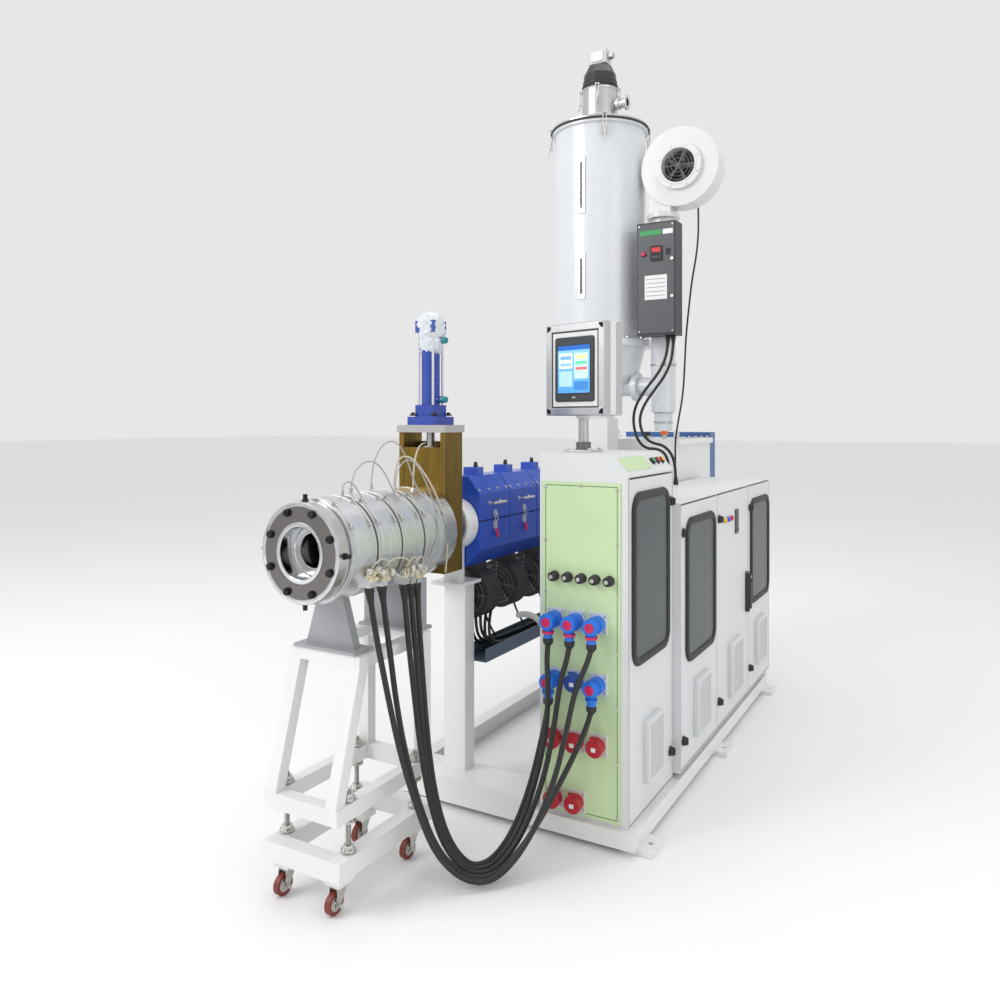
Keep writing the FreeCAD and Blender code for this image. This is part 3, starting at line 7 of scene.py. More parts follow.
import bmesh
import bpy
from bpy.props import FloatProperty, FloatVectorProperty, IntProperty, PointerProperty
from bpy.types import NodeSocket, Operator
from mathutils import Matrix, Vector
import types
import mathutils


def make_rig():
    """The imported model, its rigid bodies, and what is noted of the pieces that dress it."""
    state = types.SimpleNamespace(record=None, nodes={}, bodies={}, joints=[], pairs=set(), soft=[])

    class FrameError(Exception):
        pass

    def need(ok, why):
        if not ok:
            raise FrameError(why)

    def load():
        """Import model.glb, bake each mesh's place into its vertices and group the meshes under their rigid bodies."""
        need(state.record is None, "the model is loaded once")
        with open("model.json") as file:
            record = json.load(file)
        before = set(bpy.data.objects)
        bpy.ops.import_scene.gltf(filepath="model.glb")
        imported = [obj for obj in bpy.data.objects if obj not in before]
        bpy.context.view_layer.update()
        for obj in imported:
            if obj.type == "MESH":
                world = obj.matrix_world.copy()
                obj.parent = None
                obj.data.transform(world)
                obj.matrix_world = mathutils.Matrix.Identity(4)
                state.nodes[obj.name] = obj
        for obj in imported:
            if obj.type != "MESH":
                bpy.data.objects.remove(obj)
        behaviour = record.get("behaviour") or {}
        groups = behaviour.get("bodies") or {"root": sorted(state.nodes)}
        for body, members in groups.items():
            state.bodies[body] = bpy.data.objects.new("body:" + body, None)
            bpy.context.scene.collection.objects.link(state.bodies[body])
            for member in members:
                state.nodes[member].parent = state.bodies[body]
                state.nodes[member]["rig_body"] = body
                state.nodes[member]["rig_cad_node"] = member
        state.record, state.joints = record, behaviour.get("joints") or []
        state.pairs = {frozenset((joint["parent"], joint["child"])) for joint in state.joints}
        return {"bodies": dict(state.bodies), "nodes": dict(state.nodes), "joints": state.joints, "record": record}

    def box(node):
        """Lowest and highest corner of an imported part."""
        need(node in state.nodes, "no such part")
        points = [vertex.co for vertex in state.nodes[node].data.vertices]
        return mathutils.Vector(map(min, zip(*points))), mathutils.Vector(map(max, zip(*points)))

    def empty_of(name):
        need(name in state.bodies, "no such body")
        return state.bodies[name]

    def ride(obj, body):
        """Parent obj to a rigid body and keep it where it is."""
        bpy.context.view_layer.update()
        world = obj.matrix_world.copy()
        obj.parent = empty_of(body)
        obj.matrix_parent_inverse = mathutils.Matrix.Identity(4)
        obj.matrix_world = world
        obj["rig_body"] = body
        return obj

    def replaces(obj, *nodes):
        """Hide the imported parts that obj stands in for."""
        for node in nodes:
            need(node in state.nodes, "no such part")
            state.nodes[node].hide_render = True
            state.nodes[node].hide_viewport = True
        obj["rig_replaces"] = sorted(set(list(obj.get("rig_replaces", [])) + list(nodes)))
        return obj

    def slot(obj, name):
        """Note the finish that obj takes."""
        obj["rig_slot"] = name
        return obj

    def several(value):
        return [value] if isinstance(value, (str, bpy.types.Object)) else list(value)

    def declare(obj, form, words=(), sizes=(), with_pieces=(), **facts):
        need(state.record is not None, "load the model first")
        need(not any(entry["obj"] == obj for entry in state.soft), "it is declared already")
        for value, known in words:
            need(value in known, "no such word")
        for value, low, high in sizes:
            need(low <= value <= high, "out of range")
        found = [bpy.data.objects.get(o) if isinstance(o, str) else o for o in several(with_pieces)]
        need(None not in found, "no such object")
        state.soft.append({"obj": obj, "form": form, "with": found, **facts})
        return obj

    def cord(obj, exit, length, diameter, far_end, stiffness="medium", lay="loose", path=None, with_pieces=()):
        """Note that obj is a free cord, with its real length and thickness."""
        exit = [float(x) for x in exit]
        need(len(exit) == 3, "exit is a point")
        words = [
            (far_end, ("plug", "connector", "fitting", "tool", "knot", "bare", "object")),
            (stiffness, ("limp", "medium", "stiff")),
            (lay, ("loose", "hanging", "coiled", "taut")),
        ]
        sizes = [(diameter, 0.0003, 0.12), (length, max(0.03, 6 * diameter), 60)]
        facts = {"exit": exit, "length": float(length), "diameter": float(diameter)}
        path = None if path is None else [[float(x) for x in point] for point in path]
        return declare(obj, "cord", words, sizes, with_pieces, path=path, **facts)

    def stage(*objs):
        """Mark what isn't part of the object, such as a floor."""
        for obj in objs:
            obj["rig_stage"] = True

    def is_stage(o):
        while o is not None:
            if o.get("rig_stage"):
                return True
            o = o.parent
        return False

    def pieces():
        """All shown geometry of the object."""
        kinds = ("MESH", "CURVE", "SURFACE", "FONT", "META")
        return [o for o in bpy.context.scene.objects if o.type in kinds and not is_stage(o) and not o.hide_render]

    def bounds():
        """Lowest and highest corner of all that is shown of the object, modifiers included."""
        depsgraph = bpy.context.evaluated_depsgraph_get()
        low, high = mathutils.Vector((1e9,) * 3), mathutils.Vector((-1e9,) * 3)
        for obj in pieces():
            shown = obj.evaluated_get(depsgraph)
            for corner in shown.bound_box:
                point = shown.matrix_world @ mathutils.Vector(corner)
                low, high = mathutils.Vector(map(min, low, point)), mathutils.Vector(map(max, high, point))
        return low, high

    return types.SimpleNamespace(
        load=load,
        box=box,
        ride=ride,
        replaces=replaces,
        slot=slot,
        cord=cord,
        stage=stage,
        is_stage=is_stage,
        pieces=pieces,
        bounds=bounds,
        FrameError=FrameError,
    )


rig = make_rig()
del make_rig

bl_info = {
    "name": "Plastic Extruder Dressing",
    "version": (1, 0, 0),
    "blender": (4, 5, 0),
    "location": "3D View > Sidebar > Extruder",
    "description": "Adds cables, finishes and fittings to the packed plastic extruder",
    "category": "Object",
}

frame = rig.load()
CAD_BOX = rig.bounds()
SIZE_FILE = "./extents.json"
UP, DOWN, SIDE, FRONT, REAR = (0, 0, 1), (0, 0, -1), (1, 0, 0), (0, -1, 0), (0, 1, 0)


def middle(node):
    low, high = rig.box(node)
    return (low + high) / 2


BARREL = middle("barrel")
AXIS_X, AXIS_Z = BARREL.x, BARREL.z
DIE_LOW, DIE_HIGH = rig.box("die_body")
HOPPER_LOW, HOPPER_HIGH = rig.box("hopper")
LID = middle("hopper_lid")
FEED_Y = LID.y
PANEL_LOW, PANEL_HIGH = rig.box("socket_panel")
PANEL_FACE = PANEL_LOW.y
COVERS = [f"upper_cover_{number}" for number in range(1, 6)]

POWER_ROUTES = [
    [(-120, -1418, 930), (-108, -1417, 850), (-88, -1410, 740), (-68, -1383, 570), (-48, -1353, 410),
     (-12, -1322, 255), (32, -1296, 127), (88, -1248, 45), (146, -1202, 22), (192, -1152, 45),
     (242, -1082, 130), (288, -1012, 280), (310, -968, 430), (318, -914, 560), (345, -871, 640),
     (348, -853, 682)],
    [(-120, -1358, 925), (-110, -1357, 845), (-92, -1355, 735), (-76, -1343, 570), (-58, -1320, 410),
     (-26, -1294, 255), (18, -1270, 127), (72, -1227, 45), (130, -1184, 22), (176, -1132, 40),
     (228, -1057, 120), (278, -982, 240), (318, -917, 350), (344, -871, 436), (348, -853, 479)],
    [(-120, -1248, 912), (-112, -1248, 830), (-98, -1248, 710), (-78, -1245, 550), (-62, -1238, 400),
     (-34, -1232, 250), (8, -1222, 120), (60, -1197, 45), (112, -1168, 22), (160, -1118, 42),
     (202, -1042, 130), (242, -978, 290), (258, -942, 450), (266, -917, 580), (268, -868, 636),
     (269, -853, 682)],
    [(-120, -1212, 908), (-114, -1212, 826), (-102, -1210, 706), (-88, -1208, 545), (-72, -1204, 395),
     (-46, -1200, 245), (-6, -1192, 118), (44, -1174, 45), (96, -1150, 22), (140, -1098, 42),
     (178, -1022, 125), (206, -958, 280), (224, -926, 440), (218, -912, 570), (192, -869, 632),
     (190, -853, 682)],
    [(-120, -1178, 905), (-116, -1176, 822), (-108, -1172, 702), (-96, -1170, 540), (-82, -1168, 390),
     (-58, -1166, 240), (-20, -1160, 116), (28, -1148, 45), (78, -1134, 22), (118, -1078, 40),
     (148, -1002, 115), (170, -938, 235), (181, -892, 350), (189, -866, 430), (190, -853, 479)],
]
POWER_LENGTHS = [1.813, 1.62, 1.746, 1.729, 1.512]
CONTROL_ROUTES = [
    [(143, 543, 1841), (143, 543, 1788), (128, 543, 1720), (92, 543, 1655), (36, 543, 1590),
     (-8, 543, 1530), (-33, 543, 1468), (-34, 543, 1400), (-10, 543, 1325), (34, 543, 1288),
     (90, 543, 1290), (136, 543, 1262), (150, 545, 1190), (150, 545, 1114)],
    [(170, 543, 1841), (170, 543, 1785), (160, 540, 1712), (128, 534, 1640), (76, 528, 1572),
     (34, 522, 1512), (10, 518, 1456), (10, 516, 1402), (32, 516, 1346), (74, 518, 1316),
     (126, 526, 1308), (166, 542, 1262), (176, 562, 1190), (176, 562, 1114)],
]
CONTROL_LENGTHS = [0.877, 0.854]
BLOWER_ROUTE = [
    (215, 805, 2589), (215, 805, 2530), (222, 788, 2450), (233, 748, 2370), (242, 700, 2290),
    (243, 660, 2205), (233, 640, 2118), (217, 638, 1976), (203, 638, 1834), (198, 640, 1726),
    (188, 640, 1553), (166, 636, 1430), (154, 622, 1330), (160, 606, 1220), (160, 606, 1114)]
BLOWER_LENGTH = 1.517


def metres(route):
    return [Vector(point) / 1000 for point in route]


def distance(label, description, value):
    return FloatProperty(name=label, description=description, default=value, subtype="DISTANCE",
        unit="LENGTH")


class ExtruderSizes(bpy.types.PropertyGroup):
    """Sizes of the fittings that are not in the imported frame."""

    power_cable: distance("Power cable", "Diameter of a heater supply cable", 0.018)
    control_cable: distance("Control cable", "Diameter of a hopper control cable", 0.014)
    blower_cable: distance("Blower cable", "Diameter of the blower's cable", 0.009)
    gasket: distance("Window gasket", "Width of the rubber round each window", 0.024)
    slat_pitch: distance("Vent slat pitch", "Distance between two vent slats", 0.0125)
    die_bolts: IntProperty(name="Die bolts", description="Socket screws round the die's mouth", default=8,
        min=4, max=16)
    blades: IntProperty(name="Blower blades", description="Blades behind the blower's eye", default=5,
        min=3, max=12)
    lead: distance("Sensor lead", "Diameter of a thermocouple lead", 0.0045)


def colour(label, value):
    return FloatVectorProperty(name=label, description=f"Base colour of the {label.lower()}",
        subtype="COLOR", size=3, min=0, max=1, default=value)


class ExtruderColours(bpy.types.PropertyGroup):
    """Paint and plastic colours, as linear values."""

    cabinet: colour("Cabinet paint", (0.7, 0.715, 0.73))
    frame: colour("Frame paint", (0.8, 0.8, 0.79))
    covers: colour("Barrel cover paint", (0.012, 0.075, 0.5))
    guard: colour("Belt guard paint", (0.035, 0.12, 0.33))
    ram: colour("Ram paint", (0.012, 0.05, 0.36))
    gold: colour("Screen changer plating", (0.2, 0.125, 0.018))
    mint: colour("Socket panel", (0.56, 0.72, 0.42))
    plug: colour("Plug blue", (0.01, 0.16, 0.72))
    signal: colour("Socket red", (0.42, 0.008, 0.02))
    tray: colour("Cable tray", (0.1, 0.14, 0.2))
    wheel: colour("Caster tread", (0.19, 0.03, 0.022))
    motor: colour("Motor paint", (0.02, 0.16, 0.2))


def sizes():
    return bpy.context.scene.extruder_sizes


def colours():
    return bpy.context.scene.extruder_colours


# Materials

def blank(name):
    """A new material with its tree, its shader and the piece's own coordinates."""
    material = bpy.data.materials.new(name)
    material.use_nodes = True
    tree = material.node_tree
    place = add(tree, "ShaderNodeTexCoord").outputs["Object"]
    return material, tree, tree.nodes["Principled BSDF"], place


def fill(tree, node, inputs):
    """Links a node's inputs to sockets, or fills them with values."""
    for socket, value in inputs.items():
        if isinstance(value, NodeSocket):
            tree.links.new(value, node.inputs[socket])
        else:
            node.inputs[socket].default_value = value


def add(tree, kind, inputs=None, **settings):
    """A node with its settings made and its inputs linked or filled."""
    node = tree.nodes.new(kind)
    for key, value in settings.items():
        setattr(node, key, value)
    fill(tree, node, inputs or {})
    return node


def noise(tree, place, scale, detail=3.0, rough=0.55):
    return add(tree, "ShaderNodeTexNoise", {"Vector": place, "Scale": scale, "Detail": detail,
        "Roughness": rough}).outputs["Fac"]


def spread(tree, value, low, high, to_low=0.0, to_high=1.0):
    return add(tree, "ShaderNodeMapRange", {"Value": value, "From Min": low, "From Max": high,
        "To Min": to_low, "To Max": to_high}).outputs["Result"]


def blend(tree, share, first, second):
    node = add(tree, "ShaderNodeMix", data_type="RGBA")
    first, second = (tone if isinstance(tone, NodeSocket) else (*tone[:3], 1) for tone in (first, second))
    fill(tree, node, {0: share, 6: first, 7: second})
    return node.outputs[2]


def sums(tree, operation, first, second=0.0):
    return add(tree, "ShaderNodeMath", {0: first, 1: second}, operation=operation).outputs[0]


def part_of(tree, place, letter):
    return add(tree, "ShaderNodeSeparateXYZ", {0: place}).outputs[letter]


def above(tree, place, letter, level, soft=0.0008):
    """1 where the place is past a level, and 0 before it."""
    return spread(tree, part_of(tree, place, letter), level - soft, level + soft)


def shade(base, by):
    return tuple(min(1.0, channel * by) for channel in base)


def edge_share(tree, radius, low=0.93, high=0.72):
    """1 along the sharp edges of a piece, and 0 on its faces."""
    soft = add(tree, "ShaderNodeBevel", {"Radius": radius}, samples=4).outputs[0]
    true = add(tree, "ShaderNodeNewGeometry").outputs["True Normal"]
    dot = add(tree, "ShaderNodeVectorMath", {0: soft, 1: true}, operation="DOT_PRODUCT")
    return spread(tree, dot.outputs["Value"], low, high)


def relief(tree, shader, height, distance, strength=1.0, soft=0.0015):
    """Bump over softly rounded edges."""
    inputs = {"Height": height, "Distance": distance, "Strength": strength}
    if soft:
        inputs["Normal"] = add(tree, "ShaderNodeBevel", {"Radius": soft}, samples=3).outputs[0]
    bump = add(tree, "ShaderNodeBump", inputs)
    tree.links.new(bump.outputs[0], shader.inputs["Normal"])


def paint_over(tree, shader, place, tone, rough=0.36, peel=0.00006, dust=0.05, edge=1.12, peel_scale=420.0):
    """Sprayed paint: slow colour drift, orange peel, uneven gloss and thin lighter edges, partly rubbed paint and
    partly painted highlight.
    """
    drift = noise(tree, place, 2.6, 5.0, 0.6)
    specks = noise(tree, place, 38.0, 6.0, 0.7)
    if isinstance(tone, NodeSocket):
        darker = blend(tree, dust * 1.6, tone, (0.25, 0.25, 0.24))
    else:
        darker = shade(tone, 1 - dust * 1.6)
    base = blend(tree, spread(tree, drift, 0.3, 0.7), tone, darker)
    base = blend(tree, spread(tree, specks, 0.62, 0.86, 0.0, dust * 3), base, (0.3, 0.29, 0.27))
    # Lighter sharp edges: partly rubbed paint, partly painted highlight.
    worn = edge_share(tree, 0.003)
    if not isinstance(tone, NodeSocket):
        base = blend(tree, sums(tree, "MULTIPLY", worn, 0.5), base, shade(tone, edge))
    fill(tree, shader, {"Base Color": base, "Roughness": spread(tree, specks, 0.2, 0.8, rough - 0.05,
        rough + 0.09)})
    relief(tree, shader, noise(tree, place, peel_scale, 2.0), peel)


def painted(name, tone, rough=0.36, peel=0.00006, dust=0.05, edge=1.12, coat=0.0):
    material, tree, shader, place = blank(name)
    paint_over(tree, shader, place, tone, rough, peel, dust, edge)
    shader.inputs["Coat Weight"].default_value = coat
    return material


def metal(name, tone, rough=0.28, streak=(1.0, 1.0, 1.0), stain=0.25, stain_tone=(0.3, 0.28, 0.26),
          depth=0.00002):
    """Bare metal with fine drawn lines along one direction and cloudy stains."""
    material, tree, shader, place = blank(name)
    lines = noise(tree, add(tree, "ShaderNodeMapping", {0: place, 3: streak}).outputs[0], 90.0, 3.0, 0.7)
    cloud = noise(tree, place, 9.0, 6.0, 0.65)
    base = blend(tree, spread(tree, lines, 0.3, 0.75), shade(tone, 0.86), shade(tone, 1.08))
    base = blend(tree, spread(tree, cloud, 0.52, 0.75, 0.0, stain), base, stain_tone)
    # Lighter sharp edges: painted highlight.
    base = blend(tree, sums(tree, "MULTIPLY", edge_share(tree, 0.002), 0.6), base, shade(tone, 1.35))
    fill(tree, shader, {"Base Color": base, "Roughness": spread(tree, cloud, 0.3, 0.75, rough - 0.06,
        rough + 0.16), "Metallic": 1.0})
    relief(tree, shader, lines, depth, soft=0.0008)
    return material


def lathe_steel(name, tone, inner_tone, split, rough=0.24, pitch=1500.0, centre=None):
    """Steel turned about the machine's axis: fine rings by radius, darker inside a split radius."""
    material, tree, shader, place = blank(name)
    centre = centre or (AXIS_X, AXIS_Z)
    off_x = sums(tree, "SUBTRACT", part_of(tree, place, "X"), centre[0])
    off_z = sums(tree, "SUBTRACT", part_of(tree, place, "Z"), centre[1])
    squared = sums(tree, "ADD", sums(tree, "MULTIPLY", off_x, off_x), sums(tree, "MULTIPLY", off_z, off_z))
    radius = sums(tree, "SQRT", squared)
    rings = add(tree, "ShaderNodeTexNoise", {"W": sums(tree, "MULTIPLY", radius, pitch), "Scale": 1.0,
        "Detail": 2.0}, noise_dimensions="1D").outputs["Fac"]
    cloud = noise(tree, place, 14.0, 6.0, 0.65)
    base = blend(tree, spread(tree, radius, split - 0.001, split + 0.001), inner_tone, tone)
    base = blend(tree, spread(tree, cloud, 0.45, 0.8, 0.0, 0.4), base, shade(inner_tone, 0.7))
    # Lighter sharp edges: painted highlight.
    base = blend(tree, sums(tree, "MULTIPLY", edge_share(tree, 0.0025), 0.7), base, shade(tone, 1.3))
    fill(tree, shader, {"Base Color": base, "Roughness": spread(tree, rings, 0.3, 0.7, rough - 0.05,
        rough + 0.14), "Metallic": 1.0})
    relief(tree, shader, rings, 0.00003, soft=0.001)
    return material


def band_sheet(name):
    """Soft aluminium sheet wrapped round the die: strap marks, dull patches, finger stains."""
    material, tree, shader, place = blank(name)
    around = add(tree, "ShaderNodeMapping", {0: place, 3: (1.0, 26.0, 1.0)}).outputs[0]
    lines = noise(tree, around, 6.0, 4.0, 0.7)
    cloud = noise(tree, place, 13.0, 8.0, 0.7)
    base = blend(tree, spread(tree, lines, 0.35, 0.7), (0.62, 0.63, 0.64), (0.78, 0.79, 0.8))
    base = blend(tree, spread(tree, cloud, 0.5, 0.78, 0.0, 0.45), base, (0.36, 0.35, 0.34))
    # Lighter sharp edges: painted highlight.
    base = blend(tree, edge_share(tree, 0.002), base, (0.9, 0.9, 0.9))
    fill(tree, shader, {"Base Color": base, "Roughness": spread(tree, cloud, 0.3, 0.75, 0.26, 0.48),
        "Metallic": 0.92})
    relief(tree, shader, sums(tree, "ADD", lines, sums(tree, "MULTIPLY", cloud, 1.4)), 0.0005, soft=0.001)
    return material


def gold_plating(name):
    """Zinc plating passivated to a dark, uneven gold, with milling marks."""
    material, tree, shader, place = blank(name)
    tone = tuple(colours().gold)
    run = add(tree, "ShaderNodeMapping", {0: place, 3: (7.0, 7.0, 1.2)}).outputs[0]
    flow = noise(tree, run, 3.4, 6.0, 0.66)
    cloud = noise(tree, place, 11.0, 5.0, 0.6)
    marks = noise(tree, add(tree, "ShaderNodeMapping", {0: place, 3: (1.0, 1.0, 30.0)}).outputs[0], 40.0)
    base = blend(tree, spread(tree, flow, 0.3, 0.72), shade(tone, 0.7), shade(tone, 1.25))
    base = blend(tree, spread(tree, cloud, 0.5, 0.75, 0.0, 0.3), base, (0.26, 0.11, 0.02))
    # Lighter sharp edges: painted highlight.
    base = blend(tree, sums(tree, "MULTIPLY", edge_share(tree, 0.003), 0.8), base, (0.6, 0.48, 0.22))
    fill(tree, shader, {"Base Color": base, "Roughness": spread(tree, cloud, 0.3, 0.7, 0.26, 0.46),
        "Metallic": 0.75})
    relief(tree, shader, marks, 0.00008, soft=0.001)
    return material


def plastic(name, tone, rough=0.42, grain=900.0, depth=0.00004, wear=0.25, worn=None, sheen=0.0):
    """Moulded plastic or rubber: fine spark grain, slightly chalky patches and lighter edges, partly rubbed and partly
    painted highlight.
    """
    material, tree, shader, place = blank(name)
    cloud = noise(tree, place, 30.0, 5.0, 0.6)
    pale = worn or shade(tone, 1.6)
    base = blend(tree, spread(tree, cloud, 0.45, 0.8, 0.0, wear), tone, pale)
    # Lighter sharp edges: partly rubbed, partly painted highlight.
    base = blend(tree, sums(tree, "MULTIPLY", edge_share(tree, 0.0012), 0.35), base, pale)
    fill(tree, shader, {"Base Color": base, "Roughness": spread(tree, cloud, 0.3, 0.7, rough - 0.07,
        rough + 0.12)})
    shader.inputs["Sheen Weight"].default_value = sheen
    relief(tree, shader, noise(tree, place, grain, 2.0), depth, soft=0.0006)
    return material


def socket_plastic(name):
    """White plates against the panel, blue mouths on the upper rows, red on the lower, black connectors."""
    material, tree, shader, place = blank(name)
    cloud = noise(tree, place, 40.0, 4.0)
    ramp = blend(tree, above(tree, place, "Z", 0.445), tuple(colours().signal), tuple(colours().plug))
    ramp = blend(tree, above(tree, place, "Z", 0.83), ramp, (0.012, 0.012, 0.013))
    ramp = blend(tree, above(tree, place, "Y", PANEL_FACE - 0.0085), ramp, (0.72, 0.74, 0.74))
    ramp = blend(tree, spread(tree, cloud, 0.5, 0.8, 0.0, 0.2), ramp, (0.35, 0.36, 0.38))
    fill(tree, shader, {"Base Color": ramp, "Roughness": spread(tree, cloud, 0.3, 0.7, 0.3, 0.5)})
    relief(tree, shader, noise(tree, place, 700.0, 2.0), 0.00004, soft=0.0012)
    return material


def smoky_glass(name):
    """Tinted sheet with faint waviness and wiped dust."""
    material, tree, shader, place = blank(name)
    cloud = noise(tree, place, 5.0, 6.0, 0.6)
    tree.links.new(blend(tree, spread(tree, cloud, 0.35, 0.7), (0.1, 0.105, 0.11), (0.16, 0.165, 0.17)),
                   shader.inputs["Base Color"])
    tree.links.new(spread(tree, cloud, 0.4, 0.8, 0.02, 0.09), shader.inputs["Roughness"])
    shader.inputs["Transmission Weight"].default_value = 0.85
    shader.inputs["IOR"].default_value = 1.45
    relief(tree, shader, noise(tree, place, 2.2, 2.0), 0.002, soft=0.0)
    return material


def inside_panel(tree, place, inset):
    """1 on the mint panel inside a margin, and 0 on the margin."""
    sides = [sums(tree, "MULTIPLY", above(tree, place, letter, low + inset, 0.0004),
                  sums(tree, "SUBTRACT", 1.0, above(tree, place, letter, high - inset, 0.0004)))
             for letter, low, high in (("X", PANEL_LOW.x, PANEL_HIGH.x), ("Z", PANEL_LOW.z, PANEL_HIGH.z))]
    return sums(tree, "MULTIPLY", *sides)


def mint_sheet(name):
    """Printed sheet with a thin dark border line and no lettering."""
    material, tree, shader, place = blank(name)
    tone = tuple(colours().mint)
    border = sums(tree, "SUBTRACT", inside_panel(tree, place, 0.011), inside_panel(tree, place, 0.0135))
    cloud = noise(tree, place, 3.0, 4.0)
    base = blend(tree, spread(tree, cloud, 0.3, 0.7), shade(tone, 0.95), shade(tone, 1.05))
    base = blend(tree, border, base, (0.04, 0.1, 0.05))
    fill(tree, shader, {"Base Color": base, "Roughness": spread(tree, noise(tree, place, 60.0), 0.3, 0.7,
        0.28, 0.42)})
    relief(tree, shader, noise(tree, place, 300.0), 0.00003, soft=0.001)
    return material


def split_paint(name, levels, rough=0.36, bare_below=None):
    """One casting in several finishes, changed at levels up its height: (start height, tone)."""
    material, tree, shader, place = blank(name)
    tone = tone_of(levels[0][1])
    for level, paint in levels[1:]:
        tone = blend(tree, above(tree, place, "Z", level), tone, tone_of(paint))
    paint_over(tree, shader, place, tone, rough)
    if bare_below is not None:
        bare = sums(tree, "SUBTRACT", 1.0, above(tree, place, "Z", bare_below))
        tree.links.new(bare, shader.inputs["Metallic"])
    return material


def threaded(name):
    """Zinc-plated studs: a fine pitch wound along their length."""
    material, tree, shader, place = blank(name)
    wound = add(tree, "ShaderNodeTexWave", {"Vector": place, "Scale": 95.0, "Distortion": 0.0},
                bands_direction="Z").outputs["Fac"]
    cloud = noise(tree, place, 25.0, 4.0)
    # Darker thread roots and lighter crests: painted shade and painted highlight.
    base = blend(tree, spread(tree, wound, 0.2, 0.8), (0.22, 0.22, 0.22), (0.62, 0.62, 0.6))
    base = blend(tree, spread(tree, cloud, 0.5, 0.75, 0.0, 0.4), base, (0.4, 0.36, 0.28))
    fill(tree, shader, {"Base Color": base, "Roughness": spread(tree, cloud, 0.3, 0.7, 0.28, 0.45),
        "Metallic": 1.0})
    relief(tree, shader, wound, 0.0008, soft=0.0)
    return material


def braided(name, tone, metallic=0.0, pitch=900.0):
    """A braided or wound jacket on a thin lead or hose."""
    material, tree, shader, place = blank(name)
    one = add(tree, "ShaderNodeTexWave", {"Vector": place, "Scale": pitch / 6.3},
              bands_direction="DIAGONAL").outputs["Fac"]
    cloud = noise(tree, place, 60.0, 4.0)
    # Darker and lighter bands along the weave: painted shade in its gaps, painted highlight on its strands.
    base = blend(tree, spread(tree, one, 0.2, 0.8), shade(tone, 0.6), shade(tone, 1.15))
    base = blend(tree, spread(tree, cloud, 0.5, 0.8, 0.0, 0.3), base, shade(tone, 0.5))
    fill(tree, shader, {"Base Color": base, "Roughness": spread(tree, cloud, 0.3, 0.7, 0.3, 0.55),
        "Metallic": metallic})
    relief(tree, shader, one, 0.0003, soft=0.0)
    return material


def screen_glow(name):
    """The terminal's picture: a pale blue page of plain panels and bars, with no lettering."""
    material, tree, shader, place = blank(name)
    picture = add(tree, "ShaderNodeUVMap").outputs["UV"]
    across, up = part_of(tree, picture, "X"), part_of(tree, picture, "Y")

    def area(left, right, low, high):
        sides = [spread(tree, across, left - 0.002, left + 0.002),
                 spread(tree, across, right + 0.002, right - 0.002),
                 spread(tree, up, low - 0.002, low + 0.002), spread(tree, up, high + 0.002, high - 0.002)]
        share = sides[0]
        for side in sides[1:]:
            share = sums(tree, "MULTIPLY", share, side)
        return share

    page = blend(tree, up, (0.08, 0.3, 0.66), (0.22, 0.5, 0.86))
    for left, right, low, high, tone in (
            (0.0, 1.0, 0.9, 1.0, (0.02, 0.12, 0.45)), (0.05, 0.46, 0.52, 0.84, (0.7, 0.8, 0.9)),
            (0.52, 0.95, 0.3, 0.84, (0.45, 0.66, 0.86)), (0.05, 0.46, 0.14, 0.46, (0.36, 0.58, 0.8)),
            (0.56, 0.91, 0.72, 0.78, (0.85, 0.75, 0.2)), (0.56, 0.91, 0.6, 0.66, (0.1, 0.55, 0.3)),
            (0.56, 0.91, 0.48, 0.54, (0.6, 0.12, 0.1)), (0.08, 0.43, 0.7, 0.78, (0.16, 0.36, 0.62)),
            (0.08, 0.43, 0.57, 0.63, (0.25, 0.45, 0.68)), (0.52, 0.95, 0.06, 0.24, (0.04, 0.2, 0.5))):
        page = blend(tree, area(left, right, low, high), page, tone)
    tree.links.new(page, shader.inputs["Base Color"])
    tree.links.new(page, shader.inputs["Emission Color"])
    shader.inputs["Emission Strength"].default_value = 0.55
    tree.links.new(spread(tree, noise(tree, place, 50.0), 0.3, 0.7, 0.08, 0.16),
                   shader.inputs["Roughness"])
    return material


def glowing(name, tone, strength):
    material, tree, shader, place = blank(name)
    cloud = noise(tree, place, 200.0)
    base = blend(tree, cloud, shade(tone, 0.7), tone)
    tree.links.new(base, shader.inputs["Base Color"])
    tree.links.new(base, shader.inputs["Emission Color"])
    shader.inputs["Emission Strength"].default_value = strength
    shader.inputs["Roughness"].default_value = 0.2
    return material


def pale_floor(name):
    material, tree, shader, place = blank(name)
    cloud = noise(tree, place, 0.8, 5.0)
    tree.links.new(blend(tree, cloud, (0.86, 0.86, 0.86), (0.9, 0.9, 0.9)), shader.inputs["Base Color"])
    shader.inputs["Roughness"].default_value = 0.6
    return material


